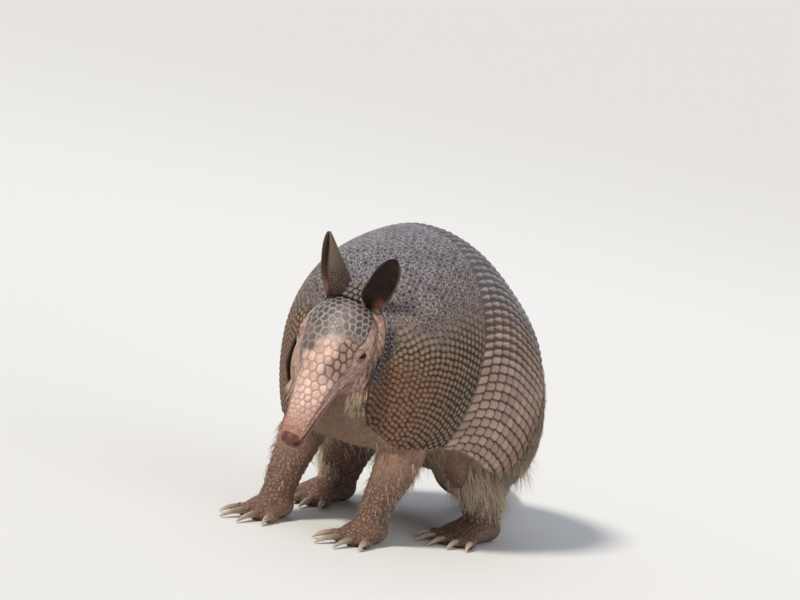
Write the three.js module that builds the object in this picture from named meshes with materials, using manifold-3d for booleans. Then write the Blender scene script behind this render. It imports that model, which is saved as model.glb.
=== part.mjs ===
// A nine-banded armadillo, life size, standing with its head hanging in front of its chest.
// Millimetres. +X is forward, +Y is the animal's left and +Z is up, with the soles on z = 0.
// The whole animal is moved at the end, so that the origin is under the middle of its box.
import * as THREE from 'three';
import { mergeVertices } from 'three/addons/utils/BufferGeometryUtils.js';
import Module from 'manifold-3d';

const wasm = await Module();
wasm.setup();

// ---------------------------------------------------------------- driving sizes

const GAP = 0.3; // clearance between touching pieces
const SHELL = 3.5; // thickness of the carapace plates
const UNDER_SHELL = 1.5; // the round flesh stands this far under the plates

const SCAPULAR_LENGTH = 91; // lengths along the ridge of the back
const BAND_COUNT = 9;
const BAND_PITCH = 10.2;
const BAND_STEP = 0.9; // how far each band's rear edge stands over the next band
const SHELL_WRAP = 123.5; // degrees from the ridge to the lower edge of the plates
const RUMP_WRAP = 104; // the same at the rear edge, over the tail
const NECK_LOBE = 21; // how far the scapular shield's sides reach round the neck
const PELVIC_END = 0.965; // where the pelvic shield stops, as a share of the back
const TRUNK_START = 0.18; // where the trunk starts behind the neck, as a share of the back
const BELLY = { starts: 0.5, reach: 0.68 }; // shares of a section's lower reach

const HEAD = { x: 50.5, y: -1, z: 139.5, pitch: -57.5, turn: -1.5, roll: 12 }; // occiput and angles
const HEAD_LENGTH = 99;
const HEAD_SHIELD = { start: 0, end: 88, crownWrap: 53, muzzleWrap: 64, thickness: 1.4 };
const EYE = { along: 30.5, angle: 76, radius: 3.3, sunk: 1.9 };
const MOUTH = { start: 50, drop: 4.2 }; // how far along the mouth starts, and its line's depth
const EAR = { along: 5, side: 14, rise: 10, length: 40, width: 21, cup: 13, thickness: 1.3 };
const EAR_LEAN = 12; // degrees outwards
const EAR_TILT = 6; // degrees that both ears lean to the left, with the head
const EAR_FORWARD = 15; // degrees forwards
const EAR_OPENS = 60; // degrees outwards from straight ahead

const TAIL = { x: -120, root: 20, tip: 2.4, length: 300, bend: 190, lift: 15, lifted: 90 };
const TAIL_RINGS = { count: 15, pitch: 12, shrink: 0.965, step: 0.9 };
const TAIL_LENGTHS = [0, 5, 10, 15, 20]; // the rings at which the tail is parted
const TAIL_SIDES = 12;

// Where each foot's ankle stands, how far in front of it the ball of the foot is, and its toes
// from the inner one to the outer one.
const FRONT_FOOT = {
  x: 34,
  y: 31,
  ball: 17,
  toes: [
    { side: -9.8, length: 9, claw: 14 },
    { side: -3.4, length: 13, claw: 23 },
    { side: 3.4, length: 13, claw: 22 },
    { side: 9.8, length: 8, claw: 13 },
  ],
};
const HIND_FOOT = {
  x: -74,
  y: 50,
  ball: 33,
  toes: [
    { side: -12, length: 8, claw: 11 },
    { side: -6.3, length: 13, claw: 16 },
    { side: 0, length: 15, claw: 18 },
    { side: 6.3, length: 12, claw: 15 },
    { side: 12, length: 7, claw: 11 },
  ],
};
const ANKLE = 16; // the height at which a leg and its foot part
const TOE = { radius: 4, tip: 3, sole: 0.9, splay: 0.5 };
const CLAW = { wide: 2.2, high: 2.4, tip: 1 };
// How far each foot stands in front of its pair's place.
const STRIDES = { front_left: 0, front_right: 12, hind_left: 0, hind_right: 14 };

// ---------------------------------------------------------------- small helpers

const radians = THREE.MathUtils.degToRad;
const lerp = THREE.MathUtils.lerp;
const clamp = THREE.MathUtils.clamp;
const vector = (x, y, z) => new THREE.Vector3(x, y, z);

// Every number in a row of stations, as one smooth function of t from 0 to 1.
function along(stations) {
  const last = stations.length - 1;
  const value = (i, key) => {
    if (i < 0) return 2 * stations[0][key] - stations[1][key];
    if (i > last) return 2 * stations[last][key] - stations[last - 1][key];
    return stations[i][key];
  };
  return (t) => {
    const place = clamp(t, 0, 1) * last;
    const i = Math.min(Math.floor(place), last - 1);
    const f = place - i;
    const row = {};
    for (const key of Object.keys(stations[0])) {
      const [a, b, c, d] = [-1, 0, 1, 2].map((step) => value(i + step, key));
      row[key] =
        b + 0.5 * f * (c - a + f * (2 * a - 5 * b + 4 * c - d + f * (3 * (b - c) + d - a)));
    }
    return row;
  };
}

// A geometry from vertices and triangles.
function geometry(points, triangles) {
  const made = new THREE.BufferGeometry();
  const flat = points.flatMap((p) => [p.x, p.y, p.z]);
  made.setAttribute('position', new THREE.Float32BufferAttribute(flat, 3));
  made.setIndex(triangles);
  return made;
}

// A closed body through rings of equally many points, which turn clockwise as seen from the
// ring before. Each end closes on its ring's middle.
function loft(rings) {
  const sides = rings[0].length;
  const middle = (ring) =>
    ring.reduce((sum, p) => sum.add(p), vector(0, 0, 0)).divideScalar(sides);
  const points = [...rings.flat(), middle(rings[0]), middle(rings[rings.length - 1])];
  const first = points.length - 2;
  const final = points.length - 1;
  const triangles = [];
  for (let r = 0; r < rings.length - 1; r++) {
    for (let k = 0; k < sides; k++) {
      const a = r * sides + k;
      const b = r * sides + ((k + 1) % sides);
      triangles.push(a, b, a + sides, b, b + sides, a + sides);
    }
  }
  const top = (rings.length - 1) * sides;
  for (let k = 0; k < sides; k++) {
    const next = (k + 1) % sides;
    triangles.push(first, next, k, final, top + k, top + next);
  }
  return geometry(points, triangles);
}

// A closed plate between two grids, the outer face at depth 0 and the inner face at depth 1.
function plate(surface, stepsAlong, stepsAcross) {
  const points = [];
  for (const depth of [0, 1]) {
    for (let i = 0; i <= stepsAlong; i++) {
      for (let j = 0; j <= stepsAcross; j++) {
        points.push(surface(i / stepsAlong, (2 * j) / stepsAcross - 1, depth));
      }
    }
  }
  const at = (depth, i, j) => (depth * (stepsAlong + 1) + i) * (stepsAcross + 1) + j;
  const triangles = [];
  const quad = (a, b, c, d) => triangles.push(a, b, c, a, c, d);
  for (let i = 0; i < stepsAlong; i++) {
    for (let j = 0; j < stepsAcross; j++) {
      quad(at(0, i, j), at(0, i + 1, j), at(0, i + 1, j + 1), at(0, i, j + 1));
      quad(at(1, i, j), at(1, i, j + 1), at(1, i + 1, j + 1), at(1, i + 1, j));
    }
    quad(at(0, i, 0), at(1, i, 0), at(1, i + 1, 0), at(0, i + 1, 0));
    const j = stepsAcross;
    quad(at(0, i, j), at(0, i + 1, j), at(1, i + 1, j), at(1, i, j));
  }
  for (let j = 0; j < stepsAcross; j++) {
    quad(at(0, 0, j), at(0, 0, j + 1), at(1, 0, j + 1), at(1, 0, j));
    const i = stepsAlong;
    quad(at(0, i, j), at(1, i, j), at(1, i, j + 1), at(0, i, j + 1));
  }
  return geometry(points, triangles);
}

// An upright limb through a row of stations, from the top down, with level rings. Each station
// has its middle x, y, z and its reach sideways (wide) and forwards (deep).
function limb(stations, sides, steps) {
  const at = along(stations);
  const rings = [];
  for (let i = 0; i <= steps; i++) {
    const row = at(i / steps);
    const ring = [];
    for (let k = 0; k < sides; k++) {
      const turn = radians((360 * (k + 0.5)) / sides);
      const across = row.wide * Math.sin(turn);
      ring.push(vector(row.x - row.deep * Math.cos(turn), row.y + across, row.z));
    }
    rings.push(ring);
  }
  return toSolid(loft(rings));
}

// A body that lies along x, through a row of stations from the back to the front, with upright
// rings. Each station has its middle x, y, z and its reach sideways, up and down.
function lying(stations, sides, steps) {
  const at = along(stations);
  const rings = [];
  for (let i = 0; i <= steps; i++) {
    const row = at(i / steps);
    const ring = [];
    for (let k = 0; k < sides; k++) {
      const turn = radians((-360 * (k + 0.5)) / sides);
      const reach = Math.cos(turn) > 0 ? row.up : row.down;
      const across = row.wide * Math.sin(turn);
      ring.push(vector(row.x, row.y + across, row.z + reach * Math.cos(turn)));
    }
    rings.push(ring);
  }
  return toSolid(loft(rings));
}

// ---------------------------------------------------------------- booleans

function toSolid(shape) {
  const bare = shape.clone();
  for (const name of Object.keys(bare.attributes)) {
    if (name !== 'position') bare.deleteAttribute(name);
  }
  const merged = mergeVertices(bare, 1e-4);
  const solid = new wasm.Manifold(
    new wasm.Mesh({
      numProp: 3,
      vertProperties: merged.attributes.position.array,
      triVerts: new Uint32Array(merged.index.array),
    })
  );
  if (solid.volume() < 0) throw new Error('a shape is inside out');
  return solid;
}

function toGeometry(solid) {
  const mesh = solid.getMesh();
  const made = new THREE.BufferGeometry();
  made.setAttribute('position', new THREE.BufferAttribute(mesh.vertProperties.slice(), 3));
  made.setIndex(new THREE.BufferAttribute(mesh.triVerts.slice(), 1));
  return made;
}

const union = (solids) => solids.reduce((whole, next) => whole.add(next));
const without = (solid, cutters) => cutters.reduce((left, cutter) => left.subtract(cutter), solid);

// The largest piece, where a cut leaves a crumb.
function mainPiece(solid) {
  const pieces = solid.decompose();
  return pieces.reduce((best, piece) => (piece.volume() > best.volume() ? piece : best));
}

function box(low, high) {
  const size = high.clone().sub(low);
  const middle = low.clone().add(high).multiplyScalar(0.5);
  const shape = new THREE.BoxGeometry(size.x, size.y, size.z);
  return toSolid(shape.translate(middle.x, middle.y, middle.z));
}

// The same shape with what reaches under the floor pressed flat on it.
function pressed(shape) {
  const { position } = shape.attributes;
  for (let i = 0; i < position.count; i++) position.setZ(i, Math.max(position.getZ(i), 0));
  return shape;
}

// ---------------------------------------------------------------- the body's sections

// Sections of the carapace from the neck to the root of the tail. Each has its middle, how far
// its ridge leans back in degrees, and its reach to the side, up to the ridge and down.
const BODY = along([
  { x: 54, z: 111, lean: 0, side: 32, up: 42, down: 70 },
  { x: 42, z: 109, lean: -3, side: 49, up: 65, down: 85 },
  { x: 26, z: 109, lean: 0, side: 60, up: 74, down: 83 },
  { x: -2, z: 109, lean: 7, side: 65, up: 82, down: 82 },
  { x: -25, z: 102, lean: 10, side: 69, up: 85, down: 75 },
  { x: -50, z: 88, lean: 14, side: 70.5, up: 86, down: 67 },
  { x: -78, z: 72, lean: 20, side: 69, up: 81, down: 57 },
  { x: -100, z: 53, lean: 33, side: 60, up: 66, down: 45 },
  { x: -116, z: 43, lean: 50, side: 43, up: 47, down: 31 },
  { x: -125, z: 38, lean: 60, side: 21, up: 25, down: 20 },
]);

// A point of a body section, for a reach given as a share of `side` and a rise in millimetres.
function sectionPoint(row, across, rise) {
  const lean = radians(row.lean);
  return vector(row.x - rise * Math.sin(lean), across, row.z + rise * Math.cos(lean));
}

// A point on the carapace: angle in degrees from the ridge, positive to the left.
function bodyPoint(t, angle, outset = 0) {
  const row = BODY(t);
  const turn = radians(angle);
  const reach = Math.cos(turn) > 0 ? row.up : row.down;
  return sectionPoint(
    row,
    (row.side + outset) * Math.sin(turn),
    (reach + outset) * Math.cos(turn)
  );
}

// A point on the flesh, which is flatter than the carapace's ellipse across the belly.
function fleshPoint(t, angle, outset = 0) {
  const fall = -Math.cos(radians(angle));
  if (fall < BELLY.starts) return bodyPoint(t, angle, outset);
  const row = BODY(t);
  const past = (fall - BELLY.starts) / (1 - BELLY.starts);
  const share = BELLY.starts + (BELLY.reach - BELLY.starts) * Math.sin((Math.PI / 2) * past);
  return sectionPoint(
    row,
    (row.side + outset) * Math.sin(radians(angle)),
    -(row.down * share + outset * fall)
  );
}

// Distance along the ridge at even steps of t, and t for a distance.
const RIDGE = [0];
const RIDGE_STEPS = 400;
for (let i = 1; i <= RIDGE_STEPS; i++) {
  const from = bodyPoint((i - 1) / RIDGE_STEPS, 0);
  RIDGE.push(RIDGE[i - 1] + from.distanceTo(bodyPoint(i / RIDGE_STEPS, 0)));
}
const RIDGE_LENGTH = RIDGE[RIDGE_STEPS];
function stationAt(distance) {
  const i = RIDGE.findIndex((reached) => reached >= distance);
  if (i < 0) return 1;
  if (i === 0) return 0;
  return (i - 1 + (distance - RIDGE[i - 1]) / (RIDGE[i] - RIDGE[i - 1])) / RIDGE_STEPS;
}

// ---------------------------------------------------------------- the carapace

const BANDS_END = SCAPULAR_LENGTH + BAND_COUNT * BAND_PITCH;
const PELVIC_REACH = RIDGE_LENGTH * PELVIC_END;

// Degrees from the ridge to the lower edge of the plates at a distance along the back.
function wrapAt(distance) {
  const rear = clamp((distance - BANDS_END) / (PELVIC_REACH - BANDS_END), 0, 1);
  return lerp(SHELL_WRAP, RUMP_WRAP, rear * rear);
}

// A piece of the carapace between two distances along the back. startAt bends its front edge,
// and its rear edge stands proud by BAND_STEP. `slack` grows it on every side, for a cut.
function carapace(start, end, stepsAlong, stepsAcross, startAt = () => start, slack = 0) {
  return plate(
    (u, v, depth) => {
      const distance = lerp(startAt(v) - slack, end - GAP + slack, u);
      const t = stationAt(Math.max(distance, 0));
      const proud = slack + BAND_STEP * clamp((distance - start) / (end - start), 0, 1);
      const angle = -v * (wrapAt(distance) + 2 * slack);
      const inner = SHELL + 2.5 * slack; // more than the slack, because the plates slope
      const point = bodyPoint(t, angle, proud - depth * (inner + proud));
      // In front of the neck edge the sides run on round the neck.
      if (distance < 0) point.x -= distance;
      return point;
    },
    stepsAlong,
    stepsAcross
  );
}

const neckEdge = (v) => -NECK_LOBE * Math.sin((Math.PI / 2) * v * v) ** 2;
const scapularShield = (slack) => carapace(0, SCAPULAR_LENGTH, 7, 16, neckEdge, slack);
const pelvicShield = (slack) =>
  carapace(BANDS_END, PELVIC_REACH, 7, 16, () => BANDS_END, slack);
function bandPlate(index, slack) {
  const start = SCAPULAR_LENGTH + index * BAND_PITCH;
  return carapace(start, start + BAND_PITCH, 1, 16, () => start, slack);
}

// A ring of the flesh under the plates.
const FLESH_SIDES = 16;
function fleshRing(t, outset = 0) {
  const ring = [];
  for (let k = 0; k < FLESH_SIDES; k++) {
    ring.push(fleshPoint(t, (360 * k) / FLESH_SIDES, outset - SHELL - UNDER_SHELL));
  }
  return ring;
}

function trunkShape(outset = 0) {
  const steps = 12;
  const rings = [];
  for (let i = 0; i <= steps; i++) {
    rings.push(fleshRing(lerp(TRUNK_START, 1, i / steps), outset));
  }
  rings[0].forEach((p) => (p.x += outset));
  return toSolid(loft(rings));
}

// ---------------------------------------------------------------- the head

// Sections of the head from the occiput to the nose, in the head's own frame: its x runs
// forward along the head, its y to the animal's left and its z out of the forehead. The muzzle
// bends a little to the left, by `shift`.
const HEAD_SECTIONS = along([
  { x: 0, shift: 0, side: 15, up: 12, down: 15 },
  { x: 9, shift: 0, side: 22, up: 18.5, down: 20 },
  { x: 20.9, shift: 0.2, side: 25, up: 20.5, down: 22 },
  { x: 32.4, shift: 0.9, side: 24.5, up: 19.5, down: 21 },
  { x: 43.8, shift: 1.6, side: 19.8, up: 16.5, down: 17.5 },
  { x: 55.3, shift: 2.4, side: 14.4, up: 13.3, down: 14 },
  { x: 66.8, shift: 3.1, side: 11.6, up: 10.8, down: 11 },
  { x: 78.3, shift: 3.8, side: 9.8, up: 8.8, down: 8.8 },
  { x: 87.9, shift: 4.4, side: 8.4, up: 7.6, down: 7.4 },
  { x: 95.5, shift: 4.9, side: 6.2, up: 6, down: 5.2 },
]);
const HEAD_STEPS = 11;
const MUZZLE_END = 0.93; // the nose is the rest of the head's stations

// From the head's own frame to the animal's.
const headPlace = new THREE.Matrix4()
  .makeTranslation(HEAD.x, HEAD.y, HEAD.z)
  .multiply(new THREE.Matrix4().makeRotationZ(radians(HEAD.turn)))
  .multiply(new THREE.Matrix4().makeRotationY(radians(-HEAD.pitch)))
  .multiply(new THREE.Matrix4().makeRotationX(radians(-HEAD.roll)));
const onHead = (solid) => toSolid(toGeometry(solid).applyMatrix4(headPlace));

// A point of the head: angle in degrees from the forehead's middle, positive to the left.
function headPoint(t, angle, outset = 0) {
  const row = HEAD_SECTIONS(t);
  const turn = radians(angle);
  const reach = Math.cos(turn) > 0 ? row.up : row.down;
  const y = row.shift + (row.side + outset) * Math.sin(turn);
  return vector(row.x, y, (reach + outset) * Math.cos(turn));
}

function headLoft(start, end, steps, outset = 0) {
  const sides = 16;
  const rings = [];
  for (let i = 0; i <= steps; i++) {
    const ring = [];
    const t = lerp(start, end, i / steps);
    for (let k = 0; k < sides; k++) ring.push(headPoint(t, (-360 * k) / sides, outset));
    rings.push(ring);
  }
  rings[0].forEach((p) => (p.x -= outset));
  rings[steps].forEach((p) => (p.x += outset));
  return toSolid(loft(rings));
}

// The horny shield over the crown and the muzzle. `slack` grows it, for its seat.
function headShield(slack = 0) {
  const { start, end, crownWrap, muzzleWrap, thickness } = HEAD_SHIELD;
  return plate(
    (u, v, depth) => {
      const t = lerp(start - slack, end + slack, u) / HEAD_LENGTH;
      const wrap = lerp(crownWrap, muzzleWrap, THREE.MathUtils.smoothstep(u, 0.4, 0.75));
      const outer = slack > 0 ? 3 : 0;
      const angle = v * (wrap + (slack > 0 ? 2 : 0));
      return headPoint(clamp(t, 0, 1), angle, lerp(outer, -thickness - slack, depth));
    },
    9,
    8
  );
}

// The middle of an eye, on the left for side = 1 and on the right for side = -1.
function eyePlace(side) {
  const t = EYE.along / HEAD_LENGTH;
  return headPoint(t, side * EYE.angle, -EYE.sunk);
}

function eyeShape(side, outset = 0) {
  const ball = new THREE.SphereGeometry(EYE.radius + outset, 8, 6);
  const middle = eyePlace(side);
  return toSolid(ball.translate(middle.x, middle.y, middle.z));
}

// ---------------------------------------------------------------- the ears

// The ear's outline at a share of its length: a narrow stalk, a broad leaf and a round tip.
// `half` is half the leaf's width, or the cup's depth.
function earReach(share, half) {
  const leaf = Math.sin(Math.PI * Math.pow(share, 0.8)) ** 0.6;
  return half * leaf + 4 * (1 - share) ** 3 + 1.1 * share;
}

// An ear is a deep half tube at its root that flattens towards the tip. Each section is part
// of an ellipse, as wide as the leaf and as deep as the cup.
function earShape(side) {
  const root = vector(EAR.along, side * EAR.side, EAR.rise).applyMatrix4(headPlace);
  const rise = vector(
    Math.sin(radians(EAR_FORWARD)),
    side * Math.sin(radians(EAR_LEAN)) + Math.sin(radians(EAR_TILT)),
    Math.cos(radians(EAR_FORWARD))
  ).normalize();
  const facing = vector(Math.cos(radians(EAR_OPENS)), side * Math.sin(radians(EAR_OPENS)), 0);
  facing.addScaledVector(rise, -facing.dot(rise)).normalize();
  const across = new THREE.Vector3().crossVectors(rise, facing);
  const sunk = 5;
  return toSolid(
    plate(
      (u, v, depth) => {
        const height = lerp(-sunk, EAR.length, u);
        const share = clamp(height / EAR.length, 0, 1);
        const wide = earReach(share, EAR.width / 2) - depth * EAR.thickness;
        const cup = earReach(share, lerp(EAR.cup, 3, share)) - depth * EAR.thickness;
        const turn = radians(v * lerp(112, 85, share));
        return root
          .clone()
          .addScaledVector(rise, height)
          .addScaledVector(across, wide * Math.sin(turn))
          .addScaledVector(facing, -Math.max(cup, 0.4) * Math.cos(turn));
      },
      6,
      5
    )
  );
}

// ---------------------------------------------------------------- the neck

// The neck goes on from the trunk inside the front edge of the shield, and narrows round the
// back of the skull to the throat.
function neckShape(outset = 0) {
  const rounds = [
    { x: 75, z: 98, wide: 9, up: 11, down: 12 },
    { x: 70, z: 100, wide: 19, up: 23, down: 25 },
    { x: 62, z: 104, wide: 25.5, up: 32, down: 35 },
  ];
  const rings = rounds.map(({ x, z, wide, up, down }) => {
    const ring = [];
    for (let k = 0; k < FLESH_SIDES; k++) {
      const turn = radians((360 * k) / FLESH_SIDES);
      const rise = ((Math.cos(turn) > 0 ? up : down) + outset) * Math.cos(turn);
      ring.push(vector(x, HEAD.y + (wide + outset) * Math.sin(turn), z + rise));
    }
    return ring;
  });
  for (const share of [0, 0.35, 0.7, 1]) rings.push(fleshRing(TRUNK_START * share, outset));
  rings[rings.length - 1].forEach((p) => (p.x += GAP));
  return toSolid(loft(rings));
}

// ---------------------------------------------------------------- the tail

// The tail's middle and its direction at a distance from its root. It bends to the right.
function tailPlace(distance) {
  const turn = distance / TAIL.bend;
  return {
    x: TAIL.x - TAIL.bend * Math.sin(turn),
    y: -TAIL.bend * (1 - Math.cos(turn)),
    heading: turn,
  };
}

// The tail's radius at a share of its length, without the steps of its rings.
const tailRadius = (share) => lerp(TAIL.root, TAIL.tip, Math.pow(share, 0.82));

// The places where rings start: each one is a little shorter than the one before, and behind
// the last ring the tip is plain.
const TAIL_STARTS = [0];
for (let i = 0; i < TAIL_RINGS.count; i++) {
  TAIL_STARTS.push(TAIL_STARTS[i] + TAIL_RINGS.pitch * Math.pow(TAIL_RINGS.shrink, i));
}
const PLAIN_STEPS = TAIL_LENGTHS[TAIL_LENGTHS.length - 1] - TAIL_RINGS.count;
const RINGED_LENGTH = TAIL_STARTS[TAIL_RINGS.count];
for (let i = 1; i <= PLAIN_STEPS; i++) {
  TAIL_STARTS.push(lerp(RINGED_LENGTH, TAIL.length, i / PLAIN_STEPS));
}

// One round of points. A flat side of the round lies on the floor once the tail has come down.
function tailRing(distance, proud) {
  const share = distance / TAIL.length;
  const radius = tailRadius(share) + proud;
  const place = tailPlace(distance);
  const lift = TAIL.lift * Math.max(1 - distance / TAIL.lifted, 0) ** 2;
  const height = radius * Math.cos(Math.PI / TAIL_SIDES) + lift;
  const ring = [];
  for (let k = 0; k < TAIL_SIDES; k++) {
    const turn = radians((360 * (k + 0.5)) / TAIL_SIDES);
    const across = radius * Math.sin(turn);
    ring.push(
      vector(
        place.x - across * Math.sin(place.heading),
        place.y + across * Math.cos(place.heading),
        height + radius * Math.cos(turn)
      )
    );
  }
  return ring;
}

function tailLength(index) {
  const rings = [];
  const first = TAIL_LENGTHS[index];
  const last = TAIL_LENGTHS[index + 1];
  for (let i = first; i < last; i++) {
    const plain = i >= TAIL_RINGS.count;
    const start = TAIL_STARTS[i] + (i === first && i > 0 ? GAP : 0);
    rings.push(tailRing(start, 0));
    if (!plain) rings.push(tailRing(TAIL_STARTS[i + 1] - GAP, TAIL_RINGS.step));
  }
  if (last > TAIL_RINGS.count) rings.push(tailRing(TAIL_STARTS[last], 0));
  return toSolid(loft(rings));
}

// ---------------------------------------------------------------- legs, feet and claws

// The legs, from the shoulder or hip down to the ankle.
const frontLeg = (side, stride) =>
  limb(
    [
      { x: 22, y: side * 30, z: 92, wide: 15, deep: 22 },
      { x: 19, y: side * 34, z: 68, wide: 15, deep: 20 },
      { x: FRONT_FOOT.x - 10 + stride * 0.4, y: side * 34, z: 44, wide: 13.5, deep: 15.5 },
      { x: FRONT_FOOT.x - 3 + stride * 0.8, y: side * 32, z: 26, wide: 11, deep: 12.5 },
      { x: FRONT_FOOT.x + stride, y: side * 31, z: 8, wide: 10, deep: 11.5 },
    ],
    10,
    6
  );

const hindLeg = (side, stride) =>
  limb(
    [
      { x: -57, y: side * 34, z: 82, wide: 15, deep: 30 },
      { x: -58, y: side * 38, z: 60, wide: 14, deep: 30 },
      { x: -61 + stride * 0.4, y: side * 43, z: 40, wide: 14.5, deep: 26 },
      { x: -69 + stride * 0.8, y: side * 48, z: 24, wide: 13, deep: 18 },
      { x: HIND_FOOT.x + stride, y: side * 50, z: 8, wide: 10, deep: 12.5 },
    ],
    10,
    6
  );

// Where a toe starts and ends, in the foot's frame, and the direction that it points. The
// foot's frame has its origin on the floor under the ankle and its x forward.
function toePlace(toe, ball, side) {
  const start = vector(ball, side * toe.side, TOE.radius - TOE.sole);
  const splay = Math.atan2(toe.side * TOE.splay, toe.length + 8);
  const direction = vector(Math.cos(splay), side * Math.sin(splay), 0);
  const end = start.clone().addScaledVector(direction, toe.length);
  end.z = TOE.tip;
  return { start, end, direction, across: vector(-direction.y, direction.x, 0) };
}

function toeShape(toe, ball, side) {
  const { start, end, across } = toePlace(toe, ball, side);
  const rounds = [
    { share: -0.4, radius: TOE.radius },
    { share: 0.55, radius: TOE.radius },
    { share: 1, radius: TOE.tip },
  ];
  const rings = rounds.map(({ share, radius }) => {
    const middle = start.clone().lerp(end, share);
    const ring = [];
    for (let k = 0; k < 6; k++) {
      const turn = radians(-60 * (k + 0.5));
      ring.push(
        middle
          .clone()
          .addScaledVector(across, radius * Math.sin(turn))
          .add(vector(0, 0, radius * Math.cos(turn)))
      );
    }
    return ring;
  });
  return toSolid(loft(rings));
}

// A claw is a flattened cone along an arc that bends down from the toe's end to just above
// the floor.
function clawShape(toe, ball, side) {
  const { end, direction, across } = toePlace(toe, ball, side);
  const rings = [0, 0.55, 1].map((share) => {
    const thin = Math.max(Math.sqrt(1 - share), 0.14);
    const middle = end.clone().addScaledVector(direction, GAP + toe.claw * share);
    middle.z = lerp(end.z + 0.6, CLAW.tip, share ** 1.5);
    const ring = [];
    for (let k = 0; k < 5; k++) {
      const turn = radians(-72 * k);
      ring.push(
        middle
          .clone()
          .addScaledVector(across, CLAW.wide * thin * Math.sin(turn))
          .add(vector(0, 0, CLAW.high * thin * Math.cos(turn)))
      );
    }
    return ring;
  });
  return toSolid(loft(rings));
}

const frontPad = () =>
  lying(
    [
      { x: -12, y: 0, z: 8, wide: 7, up: 6, down: 7 },
      { x: -5, y: 0, z: 8, wide: 11, up: 8, down: 9.2 },
      { x: 6, y: 0, z: 7, wide: 12.5, up: 8, down: 8.1 },
      { x: 15, y: 0, z: 5.5, wide: 12.8, up: 5.5, down: 6.5 },
      { x: 21, y: 0, z: 4.5, wide: 9.5, up: 3.5, down: 3.8 },
    ],
    8,
    4
  );

const hindPad = () =>
  lying(
    [
      { x: -15, y: 0, z: 8, wide: 6, up: 6, down: 6.5 },
      { x: -7, y: 0, z: 9, wide: 10, up: 9, down: 10.3 },
      { x: 10, y: 0, z: 8, wide: 12, up: 9, down: 9.2 },
      { x: 27, y: 0, z: 6, wide: 14, up: 6, down: 7 },
      { x: 37, y: 0, z: 4.5, wide: 11, up: 3.5, down: 3.8 },
    ],
    8,
    4
  );

// ---------------------------------------------------------------- materials

const finish = (color, roughness) =>
  new THREE.MeshStandardMaterial({ color, roughness, metalness: 0 });
const MATERIALS = {
  shell: finish(0x7d7470, 0.62),
  headShield: finish(0xb9a294, 0.55),
  skin: finish(0x9a7a6a, 0.75),
  nose: finish(0xb0786c, 0.5),
  ear: finish(0x57463d, 0.7),
  eye: finish(0x14100e, 0.1),
  tail: finish(0x8a7a70, 0.65),
  claw: finish(0xb7a68c, 0.4),
};

// ---------------------------------------------------------------- the animal

const SIDES = [['left', 1], ['right', -1]];
const armadillo = new THREE.Group();
function add(name, shape, material) {
  const mesh = new THREE.Mesh(shape, material);
  mesh.name = name;
  armadillo.add(mesh);
}

add('scapular_shield', scapularShield(), MATERIALS.shell);
for (let i = 0; i < BAND_COUNT; i++) add(`band_${i + 1}`, bandPlate(i), MATERIALS.shell);
add('pelvic_shield', pelvicShield(), MATERIALS.shell);
add('trunk', toGeometry(trunkShape()), MATERIALS.skin);

const plates = [toSolid(scapularShield(GAP)), toSolid(pelvicShield(GAP))];
for (let i = 0; i < BAND_COUNT; i++) plates.push(toSolid(bandPlate(i, GAP)));
const trunkSeat = trunkShape(GAP);

// The muzzle and the jaw part along the mouth, and the nose is the muzzle's tip.
const eyes = SIDES.map(([, side]) => eyeShape(side, GAP));
const skull = without(headLoft(0, MUZZLE_END, HEAD_STEPS), [toSolid(headShield(GAP)), ...eyes]);
const mouthEnd = vector(HEAD_LENGTH + 10, 60, -MOUTH.drop);
const mouthGap = box(vector(MOUTH.start, -60, -60), mouthEnd.clone().add(vector(0, 0, GAP)));
const mouthCut = box(vector(MOUTH.start + GAP, -60, -60), mouthEnd);
const noseStart = HEAD_SECTIONS(MUZZLE_END).x + GAP;
const noseCut = box(vector(noseStart - 20, -30, -30), vector(noseStart, 30, 30));
const nose = headLoft(MUZZLE_END - 0.01, 1, 3).subtract(noseCut);
const upperHead = mainPiece(without(onHead(skull.subtract(mouthGap)), plates));
add('head', toGeometry(upperHead), MATERIALS.skin);
add('jaw', toGeometry(onHead(mainPiece(skull.intersect(mouthCut)))), MATERIALS.skin);
add('nose', toGeometry(onHead(nose)), MATERIALS.nose);
add('head_shield', headShield().applyMatrix4(headPlace), MATERIALS.headShield);
for (const [word, side] of SIDES) {
  add(`eye_${word}`, toGeometry(onHead(eyeShape(side))), MATERIALS.eye);
}

const headSeat = onHead(union([headLoft(0, MUZZLE_END, HEAD_STEPS, GAP), toSolid(headShield(GAP))]));
const neck = mainPiece(without(neckShape(), [headSeat, trunkSeat, ...plates]));
add('neck', toGeometry(neck), MATERIALS.skin);
const neckSeat = neckShape(GAP);
for (const [word, side] of SIDES) {
  const ear = mainPiece(without(earShape(side), [headSeat, neckSeat, ...plates]));
  add(`ear_${word}`, toGeometry(ear), MATERIALS.ear);
}

for (let i = 0; i < TAIL_LENGTHS.length - 1; i++) {
  const whole = tailLength(i);
  const cut = i === 0 ? mainPiece(without(whole, [trunkSeat, plates[1]])) : whole;
  add(`tail_${i + 1}`, toGeometry(cut), MATERIALS.tail);
}

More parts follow.
